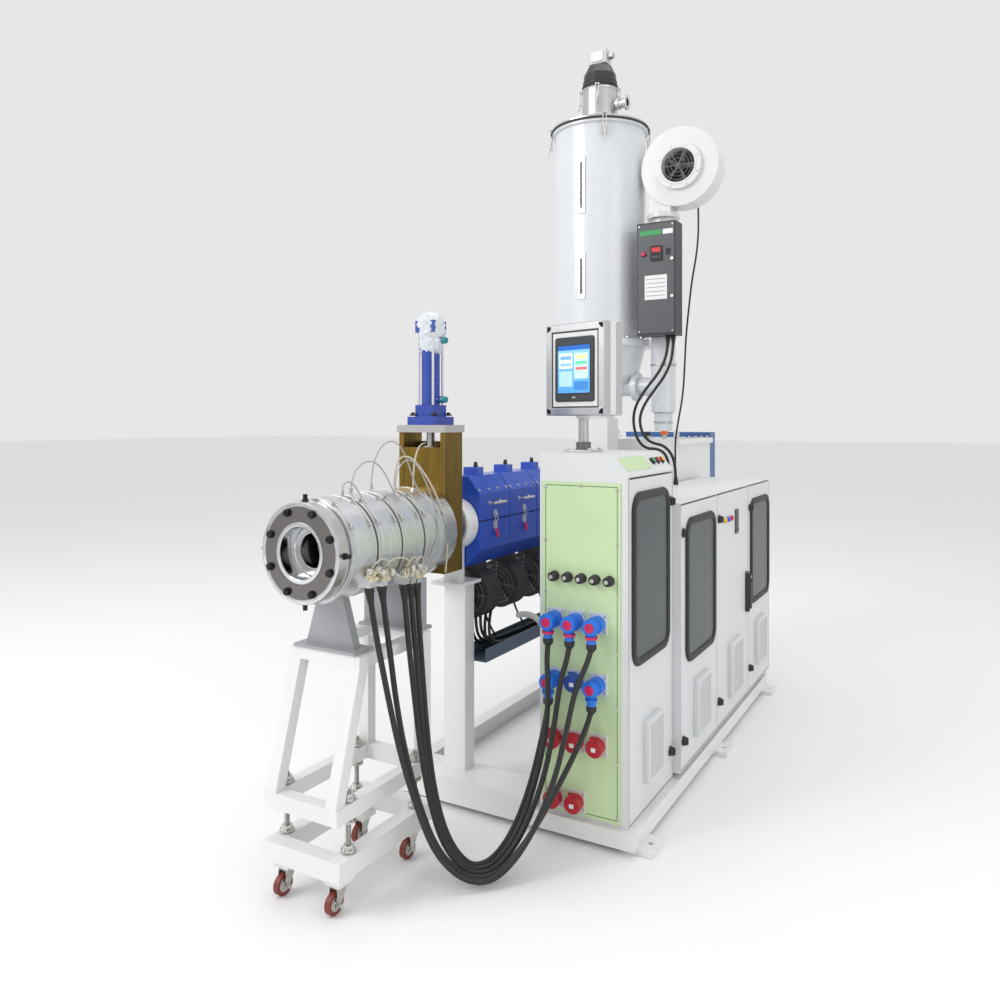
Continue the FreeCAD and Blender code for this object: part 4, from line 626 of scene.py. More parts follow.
FINISHES = {
    "cabinet_paint": (painted, "cabinet", 0.4, 0.00008, 0.02, 1.1),
    "frame_paint": (painted, "frame", 0.3, 0.00006, 0.03, 1.1, 0.15),
    "cover_paint": (painted, "covers", 0.3, 0.00005, 0.05, 1.8, 0.25),
    "guard_paint": (painted, "guard", 0.36, 0.00006, 0.05, 1.6),
    "ram_paint": (painted, "ram", 0.28, 0.00005, 0.05, 1.9, 0.3),
    "hopper_paint": (painted, (0.7, 0.72, 0.74), 0.24, 0.00003, 0.015, 1.1, 0.3),
    "blower_paint": (painted, (0.72, 0.73, 0.73), 0.3, 0.00004, 0.02, 1.1, 0.2),
    "box_black": (painted, (0.035, 0.038, 0.042), 0.42, 0.00008, 0.1, 2.2),
    "face_grey": (painted, (0.085, 0.09, 0.1), 0.4, 0.00005, 0.06, 1.6),
    "tray_paint": (painted, "tray", 0.4, 0.00006, 0.08, 1.5),
    "motor_paint": (painted, "motor", 0.4, 0.0001, 0.1, 1.5),
    "cast_paint": (painted, (0.16, 0.16, 0.17), 0.45, 0.0002, 0.12, 1.6),
    "label_white": (painted, (0.78, 0.79, 0.79), 0.35, 0.00002, 0.02),
    "label_mint": (painted, "mint", 0.35, 0.00002, 0.02),
    "label_green": (painted, (0.02, 0.3, 0.08), 0.35, 0.00002, 0.03),
    "trolley_paint": (split_paint, [(0, "frame"), (0.7285, (0.34, 0.35, 0.37))]),
    "loader_skin": (split_paint, [(0, (0.62, 0.62, 0.62)), (3.15, (0.02, 0.02, 0.022)),
                                  (3.277, (0.58, 0.59, 0.6))], 0.26, 3.15),
    "lid_steel": (metal, (0.58, 0.59, 0.6), 0.26, (1.0, 1.0, 6.0)),
    "ram_skin": (split_paint, [(0, (0.42, 0.42, 0.41)), (1.4095, "ram")], 0.3),
    "satin_steel": (metal, (0.55, 0.55, 0.55), 0.3, (1.0, 1.0, 8.0)),
    "bright_steel": (metal, (0.7, 0.7, 0.7), 0.18, (1.0, 6.0, 1.0), 0.15),
    "dark_steel": (metal, (0.13, 0.13, 0.135), 0.34, (1.0, 8.0, 1.0)),
    "black_oxide": (metal, (0.035, 0.035, 0.038), 0.38, (1.0, 1.0, 1.0), 0.4, (0.1, 0.08, 0.07)),
    "zinc": (metal, (0.58, 0.58, 0.55), 0.26, (1.0, 1.0, 1.0), 0.3, (0.36, 0.32, 0.24)),
    "aluminium": (metal, (0.62, 0.63, 0.64), 0.3, (1.0, 1.0, 14.0), 0.1),
    "band_sheet": (band_sheet,),
    "gold_plating": (gold_plating,),
    "die_steel": (lathe_steel, (0.62, 0.62, 0.61), (0.2, 0.19, 0.185), 0.1365),
    "mouth_steel": (lathe_steel, (0.66, 0.67, 0.68), (0.6, 0.61, 0.62), 0.01, 0.12),
    "cable_rubber": (plastic, (0.012, 0.012, 0.012), 0.4, 300.0, 0.00005, 0.2, (0.05, 0.05, 0.05)),
    "gasket_rubber": (plastic, (0.016, 0.016, 0.016), 0.52, 500.0, 0.0001, 0.3, (0.07, 0.07, 0.07)),
    "black_plastic": (plastic, (0.014, 0.014, 0.015), 0.4),
    "bezel_plastic": (plastic, (0.035, 0.04, 0.045), 0.36),
    "plug_plastic": (plastic, "plug", 0.34, 600.0),
    "plug_red": (plastic, (0.62, 0.01, 0.1), 0.36),
    "socket_red": (plastic, "signal", 0.34, 600.0),
    "socket_plastic": (socket_plastic,),
    "socket_blue": (plastic, (0.008, 0.06, 0.34), 0.34),
    "vent_shadow": (plastic, (0.16, 0.17, 0.18), 0.6),
    "wheel_plastic": (plastic, "wheel", 0.45),
    "white_hose": (plastic, (0.62, 0.63, 0.62), 0.35, 200.0),
    "cream_sleeve": (braided, (0.62, 0.58, 0.46)),
    "steel_braid": (braided, (0.5, 0.5, 0.5), 0.8),
    "ceramic": (plastic, (0.72, 0.64, 0.4), 0.5, 200.0, 0.0003, 0.5, (0.55, 0.45, 0.2)),
    "foil": (metal, (0.66, 0.65, 0.6), 0.3, (3.0, 3.0, 3.0), 0.3, (0.3, 0.28, 0.26), 0.0015),
    "film_wrap": (plastic, (0.66, 0.69, 0.74), 0.18, 90.0, 0.002, 0.5, (0.86, 0.88, 0.9)),
    "teal_cap": (plastic, (0.01, 0.22, 0.24), 0.35),
    "orange_grip": (plastic, (0.7, 0.13, 0.01), 0.4),
    "yellow_lens": (glowing, (0.8, 0.42, 0.01), 0.2),
    "blue_lens": (glowing, (0.02, 0.08, 0.75), 0.2),
    "red_lens": (glowing, (0.6, 0.01, 0.01), 0.2),
    "green_lens": (glowing, (0.01, 0.28, 0.08), 0.2),
    "mint_sheet": (mint_sheet,),
    "smoky_glass": (smoky_glass,),
    "screen_glow": (screen_glow,),
    "stud_steel": (threaded,),
    "pale_floor": (pale_floor,),
}


def tone_of(value):
    """A tone as it stands, or the panel's colour of that name."""
    return tuple(getattr(colours(), value)) if isinstance(value, str) else value


def finish(name):
    """A finish, made when it is first asked for."""
    if name in bpy.data.materials:
        return bpy.data.materials[name]
    maker, *recipe = FINISHES[name]
    return maker(name, *map(tone_of, recipe))


NODE_FINISHES = {
    "frame_paint": "base_frame barrel_post trolley_base feed_throat gearbox",
    "cabinet_paint": "console_shell drive_enclosure door_1 door_2 door_3 door_4",
    "mint_sheet": "socket_panel",
    "socket_plastic": "power_sockets",
    "plug_plastic": "power_plugs",
    "satin_steel": "terminal_post gate_slide",
    "label_white": "terminal_box",
    "dark_steel": "barrel",
    "tray_paint": "cable_tray",
    "cover_paint": "lower_covers upper_cover_1 upper_cover_2 upper_cover_3 upper_cover_4 upper_cover_5",
    "black_plastic": "cooling_fans",
    "gold_plating": "gate_body",
    "ram_skin": "gate_ram",
    "die_steel": "die_body",
    "band_sheet": "die_bands",
    "trolley_paint": "trolley_frame",
    "stud_steel": "jack_screws",
    "hopper_paint": "hopper air_heater",
    "lid_steel": "hopper_lid",
    "loader_skin": "loader",
    "blower_paint": "blower",
    "box_black": "control_box",
    "guard_paint": "belt_guard",
    "motor_paint": "drive_motor",
    "cast_paint": "belt_pulley",
    "smoky_glass": "window_1 window_2 window_4",
    "zinc": "caster_fork_1 caster_fork_2 caster_fork_3 caster_fork_4",
    "wheel_plastic": "caster_wheel_1 caster_wheel_2 caster_wheel_3 caster_wheel_4",
}


# Shapes

def block(bm, low, high, paint=0):
    """A block between two corners."""
    low, high = Vector(low), Vector(high)
    made = bmesh.ops.create_cube(bm, size=1.0,
        matrix=Matrix.Translation((low + high) / 2) @ Matrix.Diagonal((*(high - low), 1.0)))
    for face in {face for vert in made["verts"] for face in vert.link_faces}:
        face.material_index = paint


def turning(base, axis):
    """The frame that carries +Z onto an axis at a base point."""
    return Matrix.Translation(base) @ Vector(axis).to_track_quat("Z", "Y").to_matrix().to_4x4()


def joined(bm, first, second, paint):
    """The walls between two closed rings of corners; a ring of one corner is a pole."""
    count = max(len(first), len(second))
    for index in range(count):
        following = (index + 1) % count
        corners = [first[index % len(first)], first[following % len(first)],
                   second[following % len(second)], second[index % len(second)]]
        corners = list(dict.fromkeys(corners))
        if len(corners) > 2:
            bm.faces.new(corners).material_index = paint


def turned(bm, base, axis, profile, paint=0, sides=40):
    """(radius, height) corners spun round an axis; a corner with no radius closes the end."""
    carry = turning(base, axis)
    rings = []
    for radius, height in profile:
        if radius == 0:
            rings.append([bm.verts.new(carry @ Vector((0, 0, height)))])
        else:
            rings.append([bm.verts.new(carry @ Vector((radius * cos(turn), radius * sin(turn), height)))
                for turn in (2 * pi * side / sides for side in range(sides))])
    for first, second in zip(rings, rings[1:]):
        joined(bm, first, second, paint)


def rod(bm, base, axis, radius, long, paint=0, sides=24, edge=0.0):
    """A closed round bar with broken edges."""
    edge = edge or min(radius, long) * 0.12
    turned(bm, base, axis, [(0, 0), (radius - edge, 0), (radius, edge), (radius, long - edge),
        (radius - edge, long), (0, long)], paint, sides)


def hoop(bm, base, axis, radius, thick, paint=0, sides=48, across=10):
    """A closed ring of round wire."""
    carry = turning(base, axis)
    rings = []
    for side in range(sides):
        turn = 2 * pi * side / sides
        rings.append([bm.verts.new(carry @ Vector((
            (radius + thick * cos(a)) * cos(turn), (radius + thick * cos(a)) * sin(turn),
            thick * sin(a)))) for a in (2 * pi * step / across for step in range(across))])
    for first, second in zip(rings, rings[1:] + rings[:1]):
        joined(bm, first, second, paint)


def rounded_rectangle(wide, high, radius, steps=8):
    """Corners of a rounded rectangle about the origin, each with its outward direction."""
    places = []
    for quarter, (side_x, side_y) in enumerate(((1, 1), (-1, 1), (-1, -1), (1, -1))):
        for step in range(steps + 1):
            turn = pi / 2 * (quarter + step / steps)
            out = Vector((cos(turn), sin(turn)))
            places.append((Vector((side_x * (wide / 2 - radius),
                side_y * (high / 2 - radius))) + out * radius, out))
    return places


def swept_frame(bm, carry, wide, high, radius, section, paint=0, steps=8):
    """A closed section of (outward, height) corners carried round a rounded rectangle."""
    rings = []
    for place, out in rounded_rectangle(wide, high, radius, steps):
        rings.append([bm.verts.new(carry @ Vector((*(place + out * away), up))) for away, up in section])
    for first, second in zip(rings, rings[1:] + rings[:1]):
        joined(bm, first, second, paint)


def rounded_slab(bm, carry, wide, high, radius, low, top, paint=0, edge=0.001, steps=6):
    """A plate with rounded corners and broken front edges, from low to top along its own +Z."""
    rings = []
    for inset, up in ((0, low), (0, top - edge), (edge, top)):
        rings.append([bm.verts.new(carry @ Vector((*(place - out * inset), up))) for place,
            out in rounded_rectangle(wide, high, radius, steps)])
    for first, second in zip(rings, rings[1:]):
        joined(bm, first, second, paint)
    bm.faces.new(rings[0]).material_index = paint
    bm.faces.new(rings[-1]).material_index = paint


def facing_x(x, y, z):
    """The frame that lays a flat piece on a face that looks along +X."""
    return Matrix.Translation((x, y, z)) @ Matrix(((0, 0, 1, 0), (1, 0, 0, 0), (0, 1, 0, 0), (0, 0, 0, 1)))


def facing_front(x, y, z):
    """The frame that lays a flat piece on a face that looks along -Y."""
    return Matrix.Translation((x, y, z)) @ Matrix(((1, 0, 0, 0), (0, 0, -1, 0), (0, 1, 0, 0), (0, 0, 0, 1)))


def placed(name, data):
    thing = bpy.data.objects.new(name, data)
    bpy.context.scene.collection.objects.link(thing)
    return thing


def kept(name, mesh, paints, body, slot=None, soften=0.0, carry=None):
    """Makes the object, smooths it by angle and lets it ride."""
    for paint in paints:
        mesh.materials.append(finish(paint))
    if carry is not None:
        mesh.transform(carry)
    mesh.shade_smooth()
    mesh.set_sharp_from_angle(angle=radians(32))
    thing = placed(name, mesh)
    if soften:
        bevel = thing.modifiers.new("Soften", "BEVEL")
        bevel.width = soften
        bevel.segments = 2
        bevel.limit_method = "ANGLE"
        bevel.angle_limit = radians(40)
    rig.ride(thing, body)
    if slot:
        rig.slot(thing, slot)
    return thing


def piece(name, build, paints, body="machine", slot=None, soften=0.0, carry=None):
    """One mesh piece: build(bm) draws it, and its faces are turned outward."""
    bm = bmesh.new()
    build(bm)
    bmesh.ops.recalc_face_normals(bm, faces=bm.faces)
    mesh = bpy.data.meshes.new(name)
    bm.to_mesh(mesh)
    bm.free()
    return kept(name, mesh, paints, body, slot, soften, carry)


def leads(name, routes, diameter, paint, body="machine", slot=None, around=3, along=10, order=4):
    """Dressed wires, each along its own smooth line through a few points."""
    curve = bpy.data.curves.new(name, "CURVE")
    curve.dimensions = "3D"
    curve.bevel_depth = diameter / 2
    curve.bevel_resolution = around
    curve.resolution_u = along
    curve.use_fill_caps = True
    for route in routes:
        line = curve.splines.new("NURBS")
        line.points.add(len(route) - 1)
        for point, place in zip(line.points, route):
            point.co = (*place, 1)
        line.order_u = order
        line.use_endpoint_u = True
    curve.materials.append(finish(paint))
    thing = placed(name, curve)
    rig.ride(thing, body)
    if slot:
        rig.slot(thing, slot)
    return thing


# Geometry Nodes

def new_tree(name, inputs):
    """A geometry tree, its named inputs' sockets and its end node."""
    tree = bpy.data.node_groups.new(name, "GeometryNodeTree")
    tree.interface.new_socket("Geometry", in_out="INPUT", socket_type="NodeSocketGeometry")
    tree.interface.new_socket("Geometry", in_out="OUTPUT", socket_type="NodeSocketGeometry")
    for label, kind, value in inputs:
        socket = tree.interface.new_socket(label, in_out="INPUT", socket_type=f"NodeSocket{kind}")
        if value is not None:
            socket.default_value = value
    return tree, tree.nodes.new("NodeGroupInput").outputs, tree.nodes.new("NodeGroupOutput")


def geo(tree, kind, inputs=None):
    """The first output of a new geometry node."""
    return add(tree, f"GeometryNode{kind}", inputs).outputs[0]


def on_seats(tree, start, end, shape, more=None):
    """Ends a tree with its shape on every seat, made real and painted."""
    seats = geo(tree, "MeshToPoints", {"Mesh": start["Geometry"]})
    put = geo(tree, "InstanceOnPoints", {"Points": seats, "Instance": shape, **(more or {})})
    real = geo(tree, "RealizeInstances", {0: put})
    coated = geo(tree, "SetMaterial", {"Geometry": real, "Material": start["Material"]})
    tree.links.new(coated, end.inputs[0])
    return tree


def screw_tree():
    """A washer and a six-sided or round head on every seat, pointing along one axis."""
    name = "Screw heads"
    if name in bpy.data.node_groups:
        return bpy.data.node_groups[name]
    tree, start, end = new_tree(name, [
        ("Head Radius", "Float", 0.005), ("Head Height", "Float", 0.004), ("Sides", "Int", 6),
        ("Washer Radius", "Float", 0.007), ("Washer Height", "Float", 0.001), ("Axis", "Vector", UP),
        ("Material", "Material", None)])
    washer = geo(tree, "MeshCylinder", {
        "Vertices": 20, "Radius": start["Washer Radius"], "Depth": start["Washer Height"]})
    head = geo(tree, "MeshCone", {
        "Vertices": start["Sides"], "Depth": start["Head Height"], "Radius Bottom": start["Head Radius"],
        "Radius Top": sums(tree, "MULTIPLY", start["Head Radius"], 0.86)})
    both = add(tree, "GeometryNodeJoinGeometry")
    tree.links.new(washer, both.inputs[0])
    tree.links.new(head, both.inputs[0])
    facing = add(tree, "FunctionNodeAlignRotationToVector", {"Vector": start["Axis"]})
    return on_seats(tree, start, end, both.outputs[0], {"Rotation": facing.outputs[0]})


def slat_tree():
    """A stack of tilted slats up from one seat."""
    name = "Vent slats"
    if name in bpy.data.node_groups:
        return bpy.data.node_groups[name]
    tree, start, end = new_tree(name, [
        ("Slat Size", "Vector", (0.004, 0.1, 0.006)), ("Count", "Int", 10),
        ("Pitch", "Vector", (0, 0, 0.0125)), ("Tilt", "Vector", (0, 0.6, 0)),
        ("Material", "Material", None)])
    line = geo(tree, "MeshLine", {"Count": start["Count"], "Offset": start["Pitch"]})
    slat = geo(tree, "MeshCube", {"Size": start["Slat Size"]})
    put = geo(tree, "InstanceOnPoints", {"Points": line, "Instance": slat, "Rotation": start["Tilt"]})
    return on_seats(tree, start, end, put)


def wheel_tree():
    """Blades, ribs or spokes set round a ring and pointing along its radius."""
    name = "Radial blades"
    if name in bpy.data.node_groups:
        return bpy.data.node_groups[name]
    tree, start, end = new_tree(name, [
        ("Blade Size", "Vector", (0.05, 0.003, 0.02)), ("Count", "Int", 8), ("Ring Radius", "Float", 0.05),
        ("Pitch Angle", "Float", 0.0), ("Turn", "Rotation", (0, 0, 0)), ("Material", "Material", None)])
    ring = geo(tree, "MeshCircle", {"Vertices": start["Count"], "Radius": start["Ring Radius"]})
    blade = geo(tree, "MeshCube", {"Size": start["Blade Size"]})
    pitch = add(tree, "ShaderNodeCombineXYZ", {0: start["Pitch Angle"]}).outputs[0]
    pitched = geo(tree, "Transform", {
        "Geometry": blade, "Rotation": add(tree, "FunctionNodeEulerToRotation", {0: pitch}).outputs[0]})
    facing = add(tree, "FunctionNodeAlignRotationToVector", {"Vector": geo(tree, "InputPosition")},
                 axis="X", pivot_axis="Z").outputs[0]
    put = geo(tree, "InstanceOnPoints", {"Points": ring, "Instance": pitched, "Rotation": facing})
    return on_seats(tree, start, end, put, {"Rotation": start["Turn"]})


def lump_tree():
    """Small crumpled lumps, one on every seat, each turned its own way."""
    name = "Wrapped lumps"
    if name in bpy.data.node_groups:
        return bpy.data.node_groups[name]
    tree, start, end = new_tree(name, [
        ("Lump Radius", "Float", 0.012), ("Crumple", "Float", 0.006), ("Seed", "Int", 7),
        ("Material", "Material", None)])
    ball = geo(tree, "MeshIcoSphere", {"Radius": start["Lump Radius"], "Subdivisions": 4})
    cloud = add(tree, "ShaderNodeTexNoise", {"Scale": 90.0, "Detail": 3.0}).outputs["Fac"]
    amount = sums(tree, "MULTIPLY", sums(tree, "SUBTRACT", cloud, 0.5), start["Crumple"])
    away = add(tree, "ShaderNodeVectorMath", {0: geo(tree, "InputNormal"), "Scale": amount},
               operation="SCALE").outputs[0]
    rough = geo(tree, "SetPosition", {"Geometry": ball, "Offset": away})
    turn, size = (add(tree, "FunctionNodeRandomValue", {
        "Min": (low, low, low), "Max": (high, high, high), "Seed": start["Seed"]},
        data_type="FLOAT_VECTOR").outputs[0] for low, high in ((0, 6.2), (0.7, 1.2)))
    spin = add(tree, "FunctionNodeEulerToRotation", {0: turn}).outputs[0]
    return on_seats(tree, start, end, rough, {"Scale": size, "Rotation": spin})


def grown(name, tree, seats, values, paint, body="machine", slot=None):
    """Runs a tree on its seats and keeps the outcome as a plain mesh."""
    seat_mesh = bpy.data.meshes.new(name)
    seat_mesh.from_pydata([tuple(seat) for seat in seats], [], [])
    carrier = placed(f"{name}_seats", seat_mesh)
    modifier = carrier.modifiers.new("Grow", "NODES")
    modifier.node_group = tree
    given = {**values, "Material": finish(paint)}
    for item in tree.interface.items_tree:
        if item.in_out == "INPUT" and item.name in given:
            modifier[item.identifier] = given[item.name]
    bpy.context.view_layer.update()
    shaped = carrier.evaluated_get(bpy.context.evaluated_depsgraph_get())
    mesh = bpy.data.meshes.new_from_object(shaped)
    carrier.modifiers.remove(modifier)
    bpy.data.objects.remove(carrier)
    mesh.name = name
    if not mesh.polygons:
        raise RuntimeError(f"{name} came out empty")
    return kept(name, mesh, [], body, slot)


def screws(name, seats, axis, radius, high, paint="zinc", body="machine", sides=6, washer=1.5):
    """Screw heads on the given seats, standing along an axis."""
    lifted = [Vector(seat) + Vector(axis).normalized() * high * 0.5 for seat in seats]
    return grown(name, screw_tree(), lifted, {
        "Head Radius": radius, "Head Height": high, "Sides": sides, "Washer Radius": radius * washer,
        "Washer Height": high * 0.45, "Axis": tuple(axis)}, paint, body)


def bladed(name, seats, blade, count, radius, paint, pitch=0.0, turn=(radians(90), 0, 0), slot=None):
    """Blades round a ring on every seat; unless turned otherwise, the ring faces the front."""
    grown(name, wheel_tree(), seats, {"Blade Size": blade, "Count": count, "Ring Radius": radius,
        "Pitch Angle": pitch, "Turn": turn}, paint, slot=slot)


def ring_of(count, radius):
    """Even places round a circle, from half a step on."""
    turns = [2 * pi * (step + 0.5) / count for step in range(count)]
    return [(radius * cos(turn), radius * sin(turn)) for turn in turns]


# Stage

def lamp(name, place, target, side, watts, tone=(1, 1, 1)):
    light = bpy.data.lights.new(name, "AREA")
    light.size = side
    light.energy = watts
    light.color = tone
    thing = placed(name, light)
    thing.location = place
    thing.rotation_euler = (Vector(target) - Vector(place)).to_track_quat("-Z", "Y").to_euler()


class EXTRUDER_OT_stage(Operator):
    """Camera, pale floor and soft studio light."""

    bl_idname = "extruder.stage"
    bl_label = "Stage and camera"

    def execute(self, context):
        scene = context.scene
        camera = bpy.data.cameras.new("Camera")
        camera.lens = 29.59
        camera.sensor_width = 36
        camera.shift_y = -0.078
        camera.clip_end = 200
        viewer = placed("Camera", camera)
        viewer.location = (1.4295, -3.3345, 1.42)
        viewer.rotation_euler = (radians(90), 0, radians(29.9))
        scene.camera = viewer
        floor = bpy.data.meshes.new("Floor")
        floor.from_pydata([(-60, -60, -0.0005), (60, -60, -0.0005), (60, 60, -0.0005), (-60, 60, -0.0005)],
            [], [(0, 1, 2, 3)])
        floor.materials.append(finish("pale_floor"))
        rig.stage(placed("Floor", floor))
        world = bpy.data.worlds.new("Studio")
        world.use_nodes = True
        fill(world.node_tree, world.node_tree.nodes["Background"], {0: (1, 1, 1, 1), 1: 0.8})
        scene.world = world
        scene.view_settings.view_transform = "Standard"
        lamp("Key", (-3.6, -5.2, 4.6), (0, -0.3, 1.1), 3.2, 190)
        lamp("Fill", (5.4, -2.2, 3.0), (0.2, 0, 1.1), 3.0, 45)
        lamp("Top", (0.5, 0.5, 6.5), (0, 0, 0), 4.0, 90)
        return {"FINISHED"}


# Cables

def gland(bm, place, axis, radius, long=0.045, nut=0.016):
    """A compression nut and the tapered, grooved boot behind it."""
    rod(bm, place, axis, radius + 0.006, nut, 0, 6, 0.0015)
    step = (long - nut) / 5
    profile = [(radius * 0.9, nut)]
    for ring in range(5):
        wide = radius + 0.0042 - 0.0008 * ring
        base = nut + step * ring
        profile += [(wide, base + step * 0.1), (wide, base + step * 0.65),
            (wide - 0.0014, base + step * 0.75), (wide - 0.0014, base + step)]
    profile.append((radius * 0.98, long))
    turned(bm, place, axis, [(0, nut), *profile, (0, long)], 0, 28)


def cable(name, route, node, length, diameter, far_end, lay, companions):
    points = metres(route)
    thing = leads(name, [points], diameter, "cable_rubber", slot="black_rubber", around=6, along=16,
        order=3)
    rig.replaces(thing, node)
    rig.cord(thing, exit=tuple(points[0]), length=length, diameter=diameter, far_end=far_end,
            stiffness="medium", lay=lay, with_pieces=companions)


class EXTRUDER_OT_cables(Operator):
    """Power cables from the die to the plugs, and the hopper's control and blower cables."""

    bl_idname = "extruder.cables"
    bl_label = "Cables"

    def execute(self, context):
        power, control, thin = sizes().power_cable, sizes().control_cable, sizes().blower_cable

        def boots(bm):
            for route in POWER_ROUTES:
                start, following = metres(route[:2])
                gland(bm, start, following - start, power / 2, 0.05)

        piece("die_cable_boots", boots, ["gasket_rubber"], slot="black_rubber")

        def box_glands(bm):
            for route in CONTROL_ROUTES:
                gland(bm, metres(route)[0], DOWN, control / 2)
                gland(bm, metres(route)[-1], UP, control / 2)
            gland(bm, metres(BLOWER_ROUTE)[0], DOWN, thin / 2, 0.032, 0.012)
            gland(bm, metres(BLOWER_ROUTE)[-1], UP, thin / 2, 0.032, 0.012)

        piece("hopper_cable_boots", box_glands, ["gasket_rubber"], slot="black_rubber")
        for number, route in enumerate(POWER_ROUTES, start=1):
            cable(f"supply_cable_{number}", route, f"power_cable_{number}", POWER_LENGTHS[number - 1],
                power, "plug", "hanging", ["power_plugs"])
        for number, route in enumerate(CONTROL_ROUTES, start=1):
            cable(f"hopper_cable_{number}", route, f"control_cable_{number}", CONTROL_LENGTHS[number - 1],
                  control, "object", "hanging", [])
        cable("blower_lead", BLOWER_ROUTE, "blower_cable", BLOWER_LENGTH, thin, "object", "hanging", [])
        return {"FINISHED"}


class EXTRUDER_OT_finishes(Operator):
    """Paint, metal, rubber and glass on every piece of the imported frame."""

    bl_idname = "extruder.finishes"
    bl_label = "Frame finishes"

    def execute(self, context):
        for paint, nodes in NODE_FINISHES.items():
            for node in nodes.split():
                mesh = frame["nodes"][node].data
                for index in range(len(mesh.materials)):
                    mesh.materials[index] = finish(paint)
                if not mesh.materials:
                    mesh.materials.append(finish(paint))
        return {"FINISHED"}


# Cabinet

WINDOWS = {"window_1": "door_1", "window_2": "door_2", "window_4": "door_4"}
VENTS = ((1, -0.6445, -0.4865, 0.181, 0.392), (2, -0.1505, 0.0305, 0.182, 0.405),
         (3, 0.3735, 0.5745, 0.184, 0.424), (4, 0.8905, 1.0845, 0.2, 0.423))
DOOR_FACES = {"door_1": 0.4495, "door_2": 0.4775, "door_3": 0.4775, "door_4": 0.4775}
LOCKS = {
    "door_1": (-0.3575, 0.192, 1.125), "door_2": (-0.2875, 0.212, 1.0),
    "door_3": (0.217, 0.212, 1.0), "door_4": (0.78, 0.212, 1.0),
}
HANDLE = Vector((0.4775, 0.709, 0.6))


class EXTRUDER_OT_window_gaskets(Operator):
    """Black rubber gaskets round the three door windows."""

    bl_idname = "extruder.window_gaskets"
    bl_label = "Window gaskets"

    def execute(self, context):
        wide = sizes().gasket
        section = [(-wide, 0.005), (-wide, 0.0085), (-wide * 0.75, 0.0112), (-wide * 0.3, 0.012),
                   (0.001, 0.01), (0.005, 0.003), (0.005, -0.0005), (0.0005, -0.0005), (0.0005, 0.005)]
        for window, door in WINDOWS.items():
            low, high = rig.box(window)

            def ring(bm):
                swept_frame(bm, Matrix(), high.y - low.y, high.z - low.z, 0.062, section, 0, 12)

            piece(f"{window}_gasket", ring, ["gasket_rubber"], door, "black_rubber",
                  carry=facing_x(DOOR_FACES[door], (low.y + high.y) / 2, (low.z + high.z) / 2))
        return {"FINISHED"}


class EXTRUDER_OT_vents(Operator):
    """Frames and tilted slats on the four door vents."""

    bl_idname = "extruder.vents"
    bl_label = "Door vents"

    def execute(self, context):
        pitch = sizes().slat_pitch
        for number, start, end, low, high in VENTS:
            door = f"door_{number}"
            face = DOOR_FACES[door] + 0.016
            count = int((high - low - 0.034) / pitch) + 1
            first = Vector((face + 0.0035, (start + end) / 2, (low + high - (count - 1) * pitch) / 2))
            grown(f"vent_{number}_slats", slat_tree(), [first], {
                "Slat Size": (0.011, end - start - 0.026, 0.0022), "Count": count, "Pitch": (0, 0, pitch),
                "Tilt": (0, 0.7, 0)}, "cabinet_paint", door, "white_paint")

            def rim(bm):
                swept_frame(bm, Matrix(), end - start, high - low, 0.008, [
                    (-0.012, -0.001), (-0.012, 0.006), (-0.009, 0.008), (-0.002, 0.008), (0.001, 0.0045),
                    (0.001, -0.012), (-0.001, -0.012), (-0.001, -0.001)])
                rounded_slab(bm, Matrix(), end - start - 0.02, high - low - 0.02, 0.004, -0.001, 0.0006, 1,
                    0.0002)

            piece(f"vent_{number}_frame", rim, ["cabinet_paint", "vent_shadow"], door, "white_paint",
                  carry=facing_x(face, (start + end) / 2, (low + high) / 2))
        return {"FINISHED"}


class EXTRUDER_OT_door_hardware(Operator):
    """Quarter-turn locks and the swing handle of the cabinet doors."""

    bl_idname = "extruder.door_hardware"
    bl_label = "Door locks and handle"

    def execute(self, context):
        for door, (y, *heights) in LOCKS.items():
            face = DOOR_FACES[door]

            def knobs(bm):
                for z in heights:
                    turned(bm, (face, y, z), SIDE, [(0.0142, 0), (0.019, 0.0002), (0.019, 0.0025),
                        (0.0165, 0.004), (0.0158, 0.0135), (0.014, 0.0155), (0, 0.0158)], 0, 36)
                    block(bm, (face + 0.015, y - 0.0035, z - 0.0125), (face + 0.0215, y + 0.0035,
                        z + 0.0125), 1)

            piece(f"{door}_locks", knobs, ["black_plastic", "bezel_plastic"], door, "black_plastic", 0.0008)
        face, y, z = HANDLE

        def handle(bm):
            rounded_slab(bm, facing_x(face, y, z), 0.03, 0.196, 0.01, 0.0003, 0.0172, 0, 0.003)
            rounded_slab(bm, facing_x(face, y, z - 0.014), 0.019, 0.135, 0.009, 0.0165, 0.029, 1, 0.004)
            rod(bm, (face + 0.016, y, z + 0.074), SIDE, 0.0115, 0.01, 1, 28, 0.002)
            rod(bm, (face + 0.025, y, z + 0.074), SIDE, 0.0055, 0.0025, 2, 20, 0.0008)

        piece("door_3_handle", handle, ["black_plastic", "bezel_plastic", "zinc"], "door_3",
            "black_plastic")
        return {"FINISHED"}


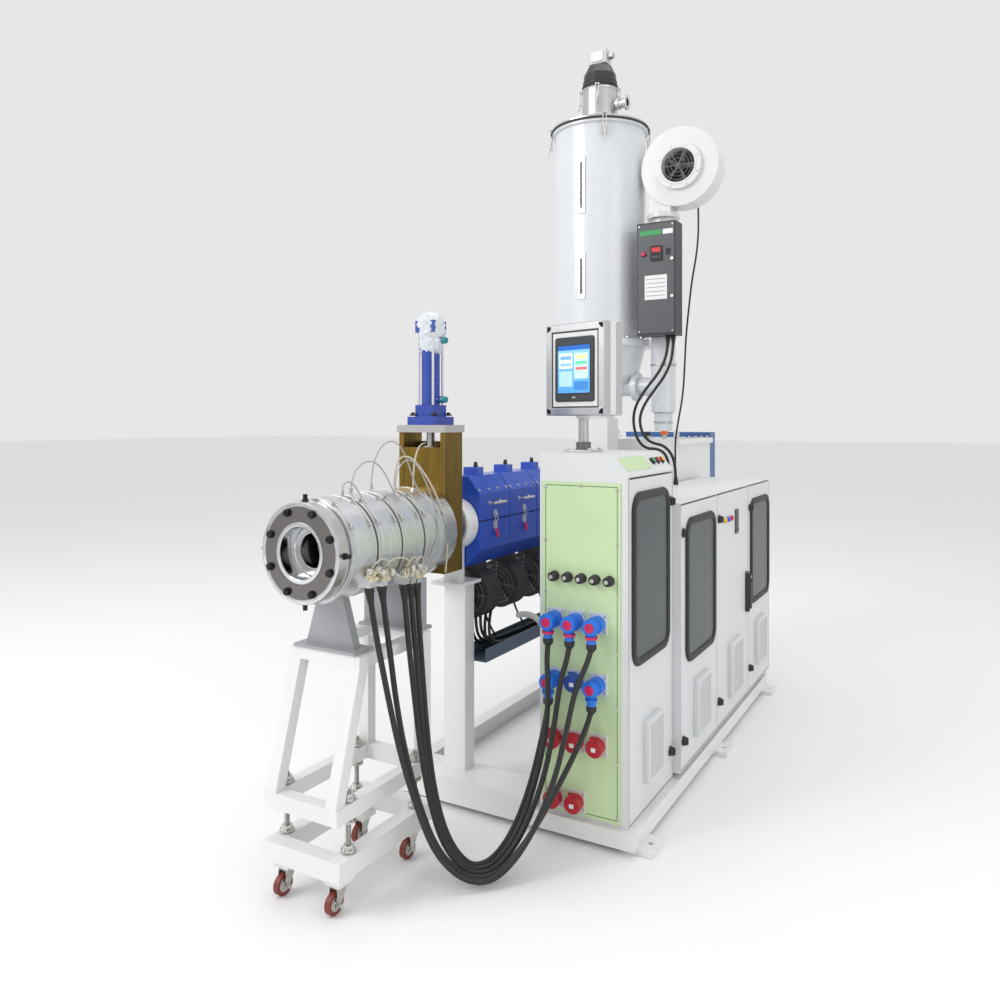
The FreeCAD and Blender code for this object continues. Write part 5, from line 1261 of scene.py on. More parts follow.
class EXTRUDER_OT_enclosure_signals(Operator):
    """Pilot lights and the plain meter on the third door."""

    bl_idname = "extruder.enclosure_signals"
    bl_label = "Pilot lights and meter"

    def execute(self, context):
        face = DOOR_FACES["door_3"]

        def lights(bm):
            for index, y in enumerate((0.305, 0.36, 0.415)):
                rod(bm, (face - 0.001, y, 0.985), SIDE, 0.0155, 0.0045, 0, 32, 0.001)
                turned(bm, (face + 0.003, y, 0.985), SIDE, [(0.0125, 0), (0.0125, 0.006), (0.01, 0.01),
                    (0.0055, 0.012), (0, 0.0125)], index + 1, 28)

        piece("pilot_lights", lights, ["zinc", "yellow_lens", "blue_lens", "red_lens"], "door_3")

        def meter(bm):
            rounded_slab(bm, facing_x(face, 0.52, 0.96), 0.05, 0.112, 0.004, -0.001, 0.007, 0, 0.0015)
            rounded_slab(bm, facing_x(face, 0.52, 0.972), 0.036, 0.062, 0.003, 0.007, 0.0082, 1, 0.0006)
            for step in range(4):
                rod(bm, (face + 0.0065, 0.505 + 0.01 * step, 0.922), SIDE, 0.003, 0.0025, 2, 16, 0.0005)

        piece("door_meter", meter, ["face_grey", "smoky_glass", "black_plastic"], "door_3")
        return {"FINISHED"}


# The slanted strip falls from the console's top to its side
SLANT_TOP = Vector((0.3895, 0, 1.311))
SLANT_FOOT = Vector((0.4495, 0, 1.243))


def on_slant(y, share):
    """The frame of a flat piece on the slanted strip: its X runs along the console, its Y up the slope."""
    place = SLANT_FOOT.lerp(SLANT_TOP, share)
    up = (SLANT_TOP - SLANT_FOOT).normalized()
    along = Vector(REAR)
    normal = along.cross(up).normalized()
    turn = Matrix((along, up, normal)).transposed().to_4x4()
    return Matrix.Translation((place.x, y, place.z)) @ turn


class EXTRUDER_OT_slant_strip(Operator):
    """The plain mint plate and the three push buttons on the console's slanted strip."""

    bl_idname = "extruder.slant_strip"
    bl_label = "Slanted strip"

    def execute(self, context):
        def strip(bm):
            rounded_slab(bm, on_slant(-0.64, 0.5), 0.24, 0.058, 0.004, -0.0005, 0.0016, 0, 0.0004)
            for index, y in enumerate((-0.47, -0.42, -0.37)):
                carry = on_slant(y, 0.5)
                base, axis = carry.translation, carry.to_3x3() @ Vector(UP)
                rod(bm, base - axis * 0.001, axis, 0.015, 0.004, 1, 32, 0.001)
                rod(bm, base + axis * 0.002, axis, 0.0125, 0.0075, 1, 32, 0.001)
                turned(bm, base + axis * 0.009, axis, [(0.0112, -0.002), (0.0112, 0.0015), (0.0095, 0.0035),
                    (0, 0.004)], 2 + index, 28)

        piece("slant_controls", strip, ["label_mint", "black_plastic", "green_lens", "red_lens",
            "yellow_lens"])
        return {"FINISHED"}


class EXTRUDER_OT_switchgear(Operator):
    """Rails with plain switchgear blocks seen through the console window."""

    bl_idname = "extruder.switchgear"
    bl_label = "Switchgear behind the window"

    def execute(self, context):
        back = 0.27

        def gear(bm):
            rounded_slab(bm, facing_x(back, -0.555, 0.875), 0.4, 0.64, 0.006, -0.003, 0, 0, 0.0008)
            for row, (z, tall, paint) in enumerate(((1.105, 0.075, 1), (0.93, 0.1, 2), (0.745, 0.085, 1),
                    (0.61, 0.06, 2))):
                block(bm, (back, -0.735, z - 0.0175), (back + 0.0075, -0.375, z + 0.0175), 3)
                wide = (0.018, 0.045, 0.036, 0.012)[row]
                count = int(0.33 / (wide + 0.002))
                for step in range(count):
                    y = -0.72 + step * (wide + 0.002)
                    deep = (0.058, 0.075, 0.066, 0.04)[row]
                    block(bm, (back + 0.006, y, z - tall / 2), (back + deep * 0.7, y + wide, z + tall / 2),
                        paint)
                    block(bm, (back + deep * 0.7, y + wide * 0.15, z - tall * 0.24),
                          (back + deep, y + wide * 0.85, z + tall * 0.24), 2 if paint == 1 else 1)
            for z in (1.02, 0.84, 0.675):
                block(bm, (back, -0.74, z - 0.02), (back + 0.045, -0.37, z + 0.02), 4)

        piece("console_switchgear", gear, ["zinc", "bezel_plastic", "label_white", "zinc", "face_grey"],
              soften=0.0015)
        return {"FINISHED"}


# Socket panel

SOCKET_X = (0.1895, 0.2685, 0.3475)
SOCKET_Z = (0.748, 0.545, 0.342, 0.139)
PLUGS = ((2, 0), (2, 1), (1, 0), (0, 0), (0, 1))
SPARE = ((0, 2), (1, 2), (2, 2), (0, 3), (1, 3))
CONNECTOR_X = [0.1855 + 0.0505 * step for step in range(5)]


class EXTRUDER_OT_panel_screws(Operator):
    """Small screws round the mint panel and at the corners of its sockets."""

    bl_idname = "extruder.panel_screws"
    bl_label = "Panel screws"

    def execute(self, context):
        low, high = PANEL_LOW, PANEL_HIGH
        around = [(x, PANEL_FACE, z) for x in (low.x + 0.012, high.x - 0.012)
                  for z in [low.z + 0.02 + step * (high.z - low.z - 0.04) / 6 for step in range(7)]]
        around += [((low.x + high.x) / 2, PANEL_FACE, z) for z in (low.z + 0.012, high.z - 0.012)]
        screws("panel_edge_screws", around, FRONT, 0.0042, 0.0026, sides=20, washer=1.35)
        plate = PANEL_FACE - 0.008
        corners = [(SOCKET_X[column] + side * 0.0255, plate, SOCKET_Z[row] + up * 0.0255)
                   for column, row in (*PLUGS, *SPARE, (1, 1)) for side in (-1, 1) for up in (-1, 1)]
        screws("socket_screws", corners, FRONT, 0.0028, 0.0016, sides=16, washer=1.3)
        return {"FINISHED"}


class EXTRUDER_OT_plug_trim(Operator):
    """Grip rings and ribs, red caps, collars and rubber boots on the blue plugs."""

    bl_idname = "extruder.plug_trim"
    bl_label = "Plug trim"

    def execute(self, context):
        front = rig.box("power_plugs")[0].y

        def trim(bm):
            for column, row in PLUGS:
                x, z = SOCKET_X[column], SOCKET_Z[row]
                turned(bm, (x, front, z), FRONT, [
                    (0.0252, -0.02), (0.0272, -0.019), (0.0272, -0.004), (0.0245, 0.0012), (0.0165, 0.0022),
                    (0.016, 0.0002), (0, 0.0002)], 0, 40)
                turned(bm, (x, front, z), FRONT, [
                    (0.0158, -0.001), (0.0158, 0.003), (0.013, 0.0042), (0.0095, 0.0042), (0.009, 0.0015),
                    (0, 0.0015)], 1, 36)
                collar = z - 0.03
                turned(bm, (x, front + 0.017, collar), DOWN, [(0.019, 0), (0.0205, 0.0005),
                    (0.0205, 0.0085), (0.019, 0.0095)], 1 if row == 0 else 0, 36)
                turned(bm, (x, front + 0.017, z - 0.066), DOWN, [
                    (0.0156, -0.012), (0.0172, -0.01), (0.0172, 0.0045), (0.0135, 0.0085), (0.0098, 0.014),
                    (0.0092, 0.0145)], 2, 32)

        piece("plug_trim", trim, ["plug_plastic", "plug_red", "gasket_rubber"], slot="blue_plastic")

        seats = [(SOCKET_X[column], front + 0.01, SOCKET_Z[row]) for column, row in PLUGS]
        bladed("plug_grips", seats, (0.0022, 0.0026, 0.013), 18, 0.0274, "plug_plastic",
            slot="blue_plastic")
        return {"FINISHED"}


class EXTRUDER_OT_socket_lids(Operator):
    """Hinged lids and plain marking squares on the spare sockets."""

    bl_idname = "extruder.socket_lids"
    bl_label = "Socket lids"

    def execute(self, context):
        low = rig.box("power_sockets")[0].y

        def lid(bm, x, z, paint, mark):
            turned(bm, (x, low, z), FRONT, [
                (0.0282, -0.012), (0.03, -0.01), (0.03, -0.0015), (0.0275, 0.0015), (0.014, 0.0028),
                (0, 0.003)], paint, 40)
            block(bm, (x - 0.012, low - 0.001, z + 0.024), (x + 0.012, low + 0.016, z + 0.036), paint)
            rod(bm, (x - 0.015, low + 0.006, z + 0.034), SIDE, 0.004, 0.03, paint, 18)
            rounded_slab(bm, facing_front(x, low - 0.0015, z - 0.002), 0.016, 0.014, 0.002, 0.0005, 0.0022,
                mark, 0.0003, 4)

        def lids(bm):
            for column, row in SPARE:
                lid(bm, SOCKET_X[column], SOCKET_Z[row], 0, 2)
            lid(bm, SOCKET_X[1], SOCKET_Z[1], 1, 2)

        piece("socket_lids", lids, ["socket_red", "socket_blue", "label_white"], soften=0.0008)
        return {"FINISHED"}


class EXTRUDER_OT_small_connectors(Operator):
    """Five square sensor plugs on the panel."""

    bl_idname = "extruder.small_connectors"
    bl_label = "Sensor plugs"

    def execute(self, context):
        face, z = PANEL_FACE, 0.893

        def plugs(bm):
            for x in CONNECTOR_X:
                turned(bm, (x, face, z), FRONT, [
                    (0.0155, 0.001), (0.0175, 0.002), (0.0175, 0.008), (0.0162, 0.01), (0.0162, 0.0255),
                    (0.014, 0.0275), (0.006, 0.0285), (0, 0.0285)], 0, 32)
                rod(bm, (x, face - 0.026, z), FRONT, 0.0075, 0.012, 1, 6, 0.0012)

        piece("sensor_plugs", plugs, ["black_plastic", "zinc"], slot="black_plastic")
        return {"FINISHED"}


# Operator terminal

TERMINAL = Matrix.Translation((0.1875, -0.5575, 1.612)) @ Matrix.Rotation(radians(-14.7), 4, "Z")


class EXTRUDER_OT_operator_terminal(Operator):
    """Extruded edge bars, inner panel, bezel and lit screen of the swivelling terminal."""

    bl_idname = "extruder.operator_terminal"
    bl_label = "Operator terminal"

    def execute(self, context):
        wide, deep, high = 0.27, 0.096, 0.332

        def shell(bm):
            for face in (-1, 1):
                carry = Matrix(((1, 0, 0, 0), (0, 0, face, face * deep / 2), (0, 1, 0, 0), (0, 0, 0, 1)))
                swept_frame(bm, carry, wide, high, 0.004, [
                    (-0.026, -0.001), (-0.026, 0.004), (-0.024, 0.0055), (-0.001, 0.0055), (0.0025, 0.003),
                    (0.0025, -0.03), (-0.0005, -0.03), (-0.0005, -0.001)], 0, 3)
                swept_frame(bm, carry, wide - 0.05, high - 0.05, 0.003, [
                    (-0.006, -0.001), (-0.006, 0.0032), (0.0005, 0.0032), (0.0005, -0.001)], 3, 3)
                rounded_slab(bm, carry, wide - 0.06, high - 0.06, 0.003, -0.001, 0.0022, 1, 0.0006)
            front = Matrix(((1, 0, 0, 0), (0, 0, -1, -deep / 2), (0, 1, 0, 0), (0, 0, 0, 1)))
            rounded_slab(bm, front, 0.182, 0.236, 0.01, 0.001, 0.0095, 2, 0.003)
            swept_frame(bm, front, 0.152, 0.176, 0.004, [
                (-0.0015, 0.009), (-0.0015, 0.0102), (0.0015, 0.0102), (0.003, 0.009)], 3, 5)
            rounded_slab(bm, front @ Matrix.Translation((0, -0.103, 0)), 0.016, 0.007, 0.002, 0.009, 0.0102,
                4, 0.0003, 3)

        piece("terminal_shell", shell, ["aluminium", "label_white", "bezel_plastic", "black_plastic",
            "zinc"], "terminal", soften=0.0005, carry=TERMINAL)

        def glass(bm):
            layer = bm.loops.layers.uv.new("Screen")
            verts = [bm.verts.new((x, -deep / 2 - 0.0098, z)) for x, z in (
                (-0.0748, -0.0868), (0.0748, -0.0868), (0.0748, 0.0868), (-0.0748, 0.0868))]
            face = bm.faces.new(verts)
            for loop, place in zip(face.loops, ((0, 0), (1, 0), (1, 1), (0, 1))):
                loop[layer].uv = place

        bm = bmesh.new()
        glass(bm)
        mesh = bpy.data.meshes.new("terminal_screen")
        bm.to_mesh(mesh)
        bm.free()
        kept("terminal_screen", mesh, ["screen_glow"], "terminal", carry=TERMINAL)

        def base(bm):
            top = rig.box("terminal_post")[0].z
            x, y = 0.1875, -0.5575
            block(bm, (x - 0.055, y - 0.055, top + 0.0005), (x + 0.055, y + 0.055, top + 0.0075), 0)
            rod(bm, (x, y, top + 0.006), UP, 0.0275, 0.03, 1, 40, 0.002)

        piece("terminal_foot", base, ["bright_steel", "dark_steel"], soften=0.001)
        x, y, top = 0.1875, -0.5575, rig.box("terminal_post")[0].z + 0.0075
        screws("terminal_foot_screws", [(x + a * 0.044, y + b * 0.044, top) for a in (-1, 1)
            for b in (-1, 1)], UP, 0.0058, 0.0045)
        return {"FINISHED"}


# Die

DIE_FRONT = DIE_LOW.y
BANDS = [DIE_FRONT + 0.048 + 0.121 * number for number in range(4)]


def round_die(radius, angle, y):
    """A place about the screw axis, at an angle from +X toward +Z."""
    turn = radians(angle)
    return Vector((AXIS_X + radius * cos(turn), y, AXIS_Z + radius * sin(turn)))


class EXTRUDER_OT_die_bolts(Operator):
    """Socket screws round the die's mouth and nuts round its rear flange."""

    bl_idname = "extruder.die_bolts"
    bl_label = "Die bolts"

    def execute(self, context):
        count = sizes().die_bolts
        ring = [round_die(0.125, 360 * (step + 0.5) / count, DIE_FRONT) for step in range(count)]
        screws("die_face_screws", ring, FRONT, 0.0108, 0.0065, "black_oxide", sides=32, washer=1.12)
        mouths = [place - Vector((0, 0.006, 0)) for place in ring]
        # Dark discs in the screw sockets: painted shade in the hex recesses.
        screws("die_screw_sockets", mouths, FRONT, 0.0058, 0.0012, "vent_shadow", sides=6, washer=0.6)
        rear = [round_die(0.1445, 360 * (step + 0.5) / 12, -1.0175) for step in range(12)]
        screws("die_flange_nuts", rear, FRONT, 0.006, 0.009, "black_oxide", washer=1.1)
        return {"FINISHED"}


class EXTRUDER_OT_die_trim(Operator):
    """Turned rings in the mouth, the inner mandrel, straps round the bands and radial screws."""

    bl_idname = "extruder.die_trim"
    bl_label = "Die rings and straps"

    def execute(self, context):
        front = (AXIS_X, DIE_FRONT, AXIS_Z)

        def mouth(bm):
            turned(bm, front, REAR, [
                (0.09, 0.0005), (0.0895, -0.0022), (0.08, -0.003), (0.0772, -0.001), (0.0768, 0.056),
                (0.074, 0.06), (0.06, 0.0606), (0.057, 0.0575), (0.0525, 0.0575), (0.0508, 0.062),
                (0.0508, 0.14), (0.0522, 0.141)], 0, 72)
            turned(bm, front, REAR, [
                (0.1492, 0.0005), (0.1475, -0.0016), (0.142, -0.0016), (0.1408, 0.0005)], 0, 96)

        piece("die_mouth_rings", mouth, ["mouth_steel"], slot="bright_steel")

        def mandrel(bm):
            turned(bm, front, REAR, [
                (0, 0.09), (0.01, 0.091), (0.026, 0.105), (0.033, 0.135), (0.034, 0.3), (0, 0.302)], 0, 56)
            for angle in (90, 210, 330):
                carry = Matrix.Translation((AXIS_X, DIE_FRONT + 0.2, AXIS_Z)) @ Matrix.Rotation(
                    radians(-angle), 4, "Y")
                start = len(bm.verts)
                block(bm, (0.03, -0.03, -0.005), (0.0515, 0.03, 0.005))
                bm.verts.ensure_lookup_table()
                bmesh.ops.transform(bm, matrix=carry, verts=bm.verts[start:])

        piece("die_mandrel", mandrel, ["dark_steel"], slot="dark_steel")

        def straps(bm):
            for start in BANDS:
                for place in (start + 0.01, start + 0.094):
                    turned(bm, (AXIS_X, place, AXIS_Z), REAR, [
                        (0.1575, 0), (0.1594, 0.0003), (0.1594, 0.0077), (0.1575, 0.008)], 0, 96)
                    for angle in (28, 62):
                        lug = round_die(0.16, angle, place + 0.004)
                        out = (lug - Vector((AXIS_X, lug.y, AXIS_Z))).normalized()
                        rod(bm, lug - out * 0.002, out, 0.0062, 0.0095, 1, 6, 0.001)
                    rod(bm, round_die(0.1655, 28, place + 0.004),
                        (round_die(0.1655, 62, 0) - round_die(0.1655, 28, 0)), 0.0028, 0.097, 1, 14)

        piece("band_straps", straps, ["bright_steel", "zinc"], slot="band_metal")

        def adjusters(bm):
            for angle in (0, 90, 180, 270):
                seat = round_die(0.1485, angle, DIE_FRONT + 0.023)
                out = (seat - Vector((AXIS_X, seat.y, AXIS_Z))).normalized()
                rod(bm, seat, out, 0.0105, 0.007, 0, 6, 0.0012)
                rod(bm, seat + out * 0.006, out, 0.0068, 0.016, 0, 24, 0.001)

        piece("die_adjusting_screws", adjusters, ["black_oxide"], slot="dark_steel")
        return {"FINISHED"}


def beside(place, x, y, z):
    return place.x + x, place.y + y, place.z + z


class EXTRUDER_OT_heater_terminals(Operator):
    """Ceramic caps, foil-wrapped joints and sleeved links at the band heaters' terminals."""

    bl_idname = "extruder.heater_terminals"
    bl_label = "Heater terminals"

    def execute(self, context):
        rows = [metres(route)[0] for route in POWER_ROUTES]

        def caps(bm):
            for start in rows:
                for step in (-0.008, 0.008):
                    turned(bm, (start.x + 0.002, start.y + step, start.z + 0.033), (0.75, 0, 0.66),
                        [(0, 0), (0.0085, 0), (0.0092, 0.003), (0.0092, 0.011), (0.007, 0.014),
                        (0.007, 0.021), (0.005, 0.023), (0, 0.023)], 0, 20)
                    rod(bm, (start.x + 0.012, start.y + step, start.z + 0.046), (0.75, 0, 0.66), 0.0026,
                        0.016, 1, 12)
                block(bm, (start.x - 0.032, start.y - 0.015, start.z + 0.01),
                      (start.x + 0.015, start.y + 0.015, start.z + 0.03), 2)

        piece("terminal_caps", caps, ["ceramic", "zinc", "band_sheet"], soften=0.0008)
        seats = [(start.x + 0.02 + 0.006 * (index % 2), start.y + shift,
            start.z + 0.05 - 0.01 * (index % 3)) for index, start in enumerate(rows)
            for shift in (-0.02, 0.018)]
        grown("wrapped_joints", lump_tree(), seats, {"Lump Radius": 0.0125, "Crumple": 0.012, "Seed": 7},
            "foil")
        spots = [(start.x + 0.012, start.y + shift, start.z + 0.024) for start in rows
            for shift in (-0.008, 0.016)]
        grown("ceramic_beads", lump_tree(), spots, {"Lump Radius": 0.0095, "Crumple": 0.004, "Seed": 3},
            "ceramic")
        links = []
        for first, second in zip(rows, rows[1:]):
            half = (first.y + second.y) / 2
            drop = 0.018 + 0.12 * abs(second.y - first.y)
            middle_z = (first.z + second.z) / 2
            links.append([beside(first, 0.02, 0.008, 0.055), beside(first, 0.042, 0.014, 0.04),
                (first.x + 0.04, half, middle_z + 0.045 - drop), beside(second, 0.042, -0.014, 0.04),
                beside(second, 0.02, -0.008, 0.055)])
            links.append([beside(first, 0.014, -0.008, 0.056), beside(first, 0.03, -0.002, 0.078),
                (first.x + 0.026, half, middle_z + 0.092), beside(second, 0.03, 0.002, 0.078),
                beside(second, 0.014, 0.008, 0.056)])
        leads("terminal_links", links, 0.0055, "cream_sleeve")
        return {"FINISHED"}


class EXTRUDER_OT_thermocouples(Operator):
    """Spring fittings and braided leads that arch over the die."""

    bl_idname = "extruder.thermocouples"
    bl_label = "Die thermocouples"

    def execute(self, context):
        across, top = AXIS_X, AXIS_Z + 0.158
        arcs = [[(0.02, -1.35, 0), (0.02, -1.35, 0.055), (0.028, -1.305, 0.105), (0.04, -1.245, 0.098),
            (0.052, -1.205, 0.045), (0.075, -1.2, -0.012), (0.13, -1.2, -0.07), (0.16, -1.205, -0.15),
            (0.15, -1.212, -0.215)], [(-0.02, -1.2, 0), (-0.02, -1.2, 0.085), (-0.004, -1.165, 0.158),
            (0.016, -1.11, 0.166), (0.032, -1.072, 0.105), (0.06, -1.066, 0.004), (0.12, -1.066, -0.052),
            (0.163, -1.08, -0.13), (0.158, -1.13, -0.205)], [(0.05, -1.165, -0.006), (0.052, -1.165, 0.06),
            (0.062, -1.125, 0.108), (0.084, -1.085, 0.088), (0.11, -1.064, 0.01), (0.142, -1.062, -0.062),
            (0.166, -1.07, -0.15), (0.156, -1.11, -0.22)], [(0.03, -1.402, -0.002), (0.03, -1.404, 0.03),
            (0.036, -1.384, 0.047), (0.048, -1.362, 0.03), (0.07, -1.356, -0.014), (0.128, -1.356, -0.066),
            (0.163, -1.358, -0.15), (0.152, -1.362, -0.212)],]
        sleeved = [
            [(0.05, -1.062, -0.006), (0.05, -1.062, 0.07), (0.034, -1.02, 0.128), (0.02, -0.975, 0.148),
             (0.014, -0.938, 0.15)],
            [(-0.03, -1.062, -0.002), (-0.03, -1.062, 0.09), (0.01, -1.045, 0.125),
             (0.07, -1.03, 0.06), (0.13, -1.012, -0.05), (0.158, -1.0, -0.16),
             (0.13, -0.985, -0.29)],
        ]

        def on_die(lines):
            return [[(across + x, y, top + z) for x, y, z in line] for line in lines]

        leads("thermocouple_leads", on_die(arcs), sizes().lead, "steel_braid")
        leads("sleeved_leads", on_die(sleeved), 0.0062, "cream_sleeve")

        def fittings(bm):
            for arc in arcs:
                x, y, z = arc[0]
                base = Vector((across + x, y, top + z - 0.006 - abs(x) * 0.1))
                rod(bm, base, UP, 0.0085, 0.009, 0, 6, 0.001)
                rod(bm, base + Vector((0, 0, 0.008)), UP, 0.005, 0.02, 0, 18, 0.0008)
                for ring in range(5):
                    hoop(bm, base + Vector((0, 0, 0.012 + 0.0035 * ring)), UP, 0.0056, 0.0011, 0, 20, 6)
            for x in (0.05, -0.03):
                base = Vector((across + x, -1.062, top - 0.014))
                rod(bm, base, UP, 0.008, 0.014, 0, 6, 0.001)

        piece("thermocouple_fittings", fittings, ["zinc"], slot="bright_steel")
        return {"FINISHED"}


# Screen changer

class EXTRUDER_OT_gate_trim(Operator):
    """Plated guards, bolts, hydraulic ports and the shipping film of the screen changer."""

    bl_idname = "extruder.gate_trim"
    bl_label = "Screen changer trim"

    def execute(self, context):
        low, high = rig.box("gate_body")

        def plates(bm):
            block(bm, (AXIS_X - 0.08, low.y + 0.002, 1.188), (AXIS_X + 0.08, low.y + 0.014, 1.33))
            block(bm, (AXIS_X - 0.08, high.y - 0.015, 1.188), (AXIS_X + 0.08, high.y - 0.003, 1.35))

        piece("gate_guards", plates, ["gold_plating"], slot="gold_plate", soften=0.0012)
        centre, cap = (low.y + high.y) / 2, 1.4095
        screws("ram_flange_bolts", [(AXIS_X + x, centre + y, cap + 0.03) for x in (-0.046, 0.046)
            for y in (-0.046, 0.046)], UP, 0.0085, 0.01, "black_oxide")

        def ports(bm):
            for z in (1.5, 1.712):
                base = Vector((AXIS_X + 0.03, centre, z))
                rod(bm, base, SIDE, 0.0125, 0.016, 0, 28, 0.001)
                rod(bm, base + Vector((0.014, 0, 0)), SIDE, 0.0105, 0.01, 1, 6, 0.001)
                turned(bm, base + Vector((0.022, 0, 0)), SIDE, [
                    (0, 0), (0.0118, 0), (0.0118, 0.014), (0.01, 0.017), (0.006, 0.018), (0, 0.018)], 2, 28)
            for angle in (45, 135, 225, 315):
                turn = radians(angle)
                rod(bm, (AXIS_X + 0.043 * cos(turn), centre + 0.043 * sin(turn), cap + 0.028), UP,
                    0.0045, 0.325, 3, 16)

        piece("ram_ports", ports, ["ram_paint", "zinc", "teal_cap", "bright_steel"])
        wrap = [(AXIS_X + x, centre + y, z) for x, y, z in (
            (-0.004, 0.002, 1.704), (0.01, -0.006, 1.742), (-0.002, 0.002, 1.774))]
        grown("ram_film", lump_tree(), wrap, {"Lump Radius": 0.046, "Crumple": 0.022, "Seed": 12},
            "film_wrap")
        return {"FINISHED"}


# Barrel covers

COVER_SIDE = AXIS_X + 0.098


class EXTRUDER_OT_cover_trim(Operator):
    """Bow handles, latches, screws and cable glands of the five barrel covers."""

    bl_idname = "extruder.cover_trim"
    bl_label = "Barrel cover trim"

    def execute(self, context):
        for number, node in enumerate(COVERS, start=1):
            low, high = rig.box(node)
            centre = (low.y + high.y) / 2

            def fittings(bm):
                for y in (centre - 0.04, centre + 0.04):
                    rod(bm, (COVER_SIDE - 0.001, y, 1.112), SIDE, 0.0038, 0.026, 0, 18)
                    rod(bm, (COVER_SIDE - 0.001, y, 1.112), SIDE, 0.008, 0.003, 0, 24)
                rod(bm, (COVER_SIDE + 0.024, centre - 0.047, 1.112), REAR, 0.005, 0.094, 0, 20, 0.002)
                block(bm, (COVER_SIDE - 0.0005, centre - 0.011, 1.056), (COVER_SIDE + 0.003, centre + 0.011,
                    1.082), 0)
                rod(bm, (COVER_SIDE + 0.006, centre - 0.01, 1.066), REAR, 0.0034, 0.02, 0, 14)
                rod(bm, (AXIS_X + 0.01, centre, high.z - 0.001), UP, 0.01, 0.01, 1, 6, 0.001)
                rod(bm, (AXIS_X + 0.01, centre, high.z + 0.008), UP, 0.0072, 0.012, 1, 20, 0.001)

            piece(f"cover_fittings_{number}", fittings, ["bright_steel", "black_plastic"],
                f"cover_{number}", soften=0.0006)
            along = [low.y + 0.014 + step * (high.y - low.y - 0.028) / 3 for step in range(4)]
            slope = Vector((0.063, 0, 0.05)).normalized()
            shoulder, crown = Vector((COVER_SIDE, 0, AXIS_Z + 0.113)), Vector((AXIS_X + 0.048, 0,
                AXIS_Z + 0.176))
            place = shoulder.lerp(crown, 0.18)
            screws(f"cover_screws_{number}", [(place.x, y, place.z) for y in along], slope, 0.0042, 0.0026,
                   body=f"cover_{number}", sides=20, washer=1.4)

        def levers(bm):
            for node in COVERS:
                low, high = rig.box(node)
                centre = (low.y + high.y) / 2
                block(bm, (COVER_SIDE - 0.0005, centre - 0.012, 1.012), (COVER_SIDE + 0.003, centre + 0.012,
                    1.04), 0)
                block(bm, (COVER_SIDE + 0.003, centre - 0.007, 1.004), (COVER_SIDE + 0.0075, centre + 0.007,
                    1.036), 0)
                hoop(bm, (COVER_SIDE + 0.0075, centre, 1.048), SIDE, 0.0105, 0.0016, 0, 28, 8)
                rod(bm, (COVER_SIDE + 0.0055, centre, 1.012), (0.25, 0, -1), 0.0058, 0.036, 1, 20, 0.002)

        piece("cover_latches", levers, ["bright_steel", "plug_red"], soften=0.0006)
        return {"FINISHED"}


# Cooling fans and what runs under the barrel

FANS = [-0.6355 + 0.235 * number for number in range(5)]
FAN_Z = 0.755


class EXTRUDER_OT_fan_trim(Operator):
    """Rims, blades, guards and motors of the cooling fans."""

    bl_idname = "extruder.fan_trim"
    bl_label = "Cooling fans"

    def execute(self, context):
        def rims(bm):
            for start in FANS:
                for y in (start, start + 0.084):
                    hoop(bm, (AXIS_X, y, FAN_Z), REAR, 0.0935, 0.0042, 0, 56, 10)
                for radius in (0.04, 0.058, 0.076):
                    hoop(bm, (AXIS_X, start - 0.012, FAN_Z), REAR, radius, 0.0014, 1, 48, 6)
                rod(bm, (AXIS_X, start - 0.014, FAN_Z), REAR, 0.026, 0.016, 0, 36, 0.003)

        piece("fan_rims", rims, ["black_plastic", "dark_steel"], slot="black_plastic")
        faces = [(AXIS_X, start - 0.0055, FAN_Z) for start in FANS]
        bladed("fan_blades", faces, (0.058, 0.02, 0.0022), 7, 0.055, "bezel_plastic", 0.45,
               slot="black_plastic")
        bladed("fan_spokes", [(x, y - 0.0065, z) for x, y, z in faces], (0.068, 0.0026, 0.0026), 4, 0.06,
               "dark_steel", slot="dark_steel")

        def motors(bm):
            for start in FANS:
                rod(bm, (AXIS_X, start + 0.083, FAN_Z), REAR, 0.046, 0.06, 0, 40, 0.004)
                for ring in range(5):
                    turned(bm, (AXIS_X, start + 0.092 + 0.009 * ring, FAN_Z), REAR, [
                        (0.0455, 0), (0.049, 0.0006), (0.049, 0.0034), (0.0455, 0.004)], 0, 40)
                block(bm, (AXIS_X - 0.022, start + 0.092, FAN_Z - 0.066), (AXIS_X + 0.022, start + 0.134,
                    FAN_Z - 0.04), 1)

        piece("fan_motors", motors, ["motor_paint", "black_plastic"], soften=0.001)
        tails = [[(AXIS_X + 0.004, start + 0.112, FAN_Z - 0.062), (AXIS_X + 0.012, start + 0.114,
            FAN_Z - 0.12), (AXIS_X + 0.04, start + 0.124, 0.59), (AXIS_X + 0.05, start + 0.15, 0.548)]
            for start in FANS]
        leads("fan_leads", tails, 0.0085, "cable_rubber", slot="black_rubber")
        return {"FINISHED"}


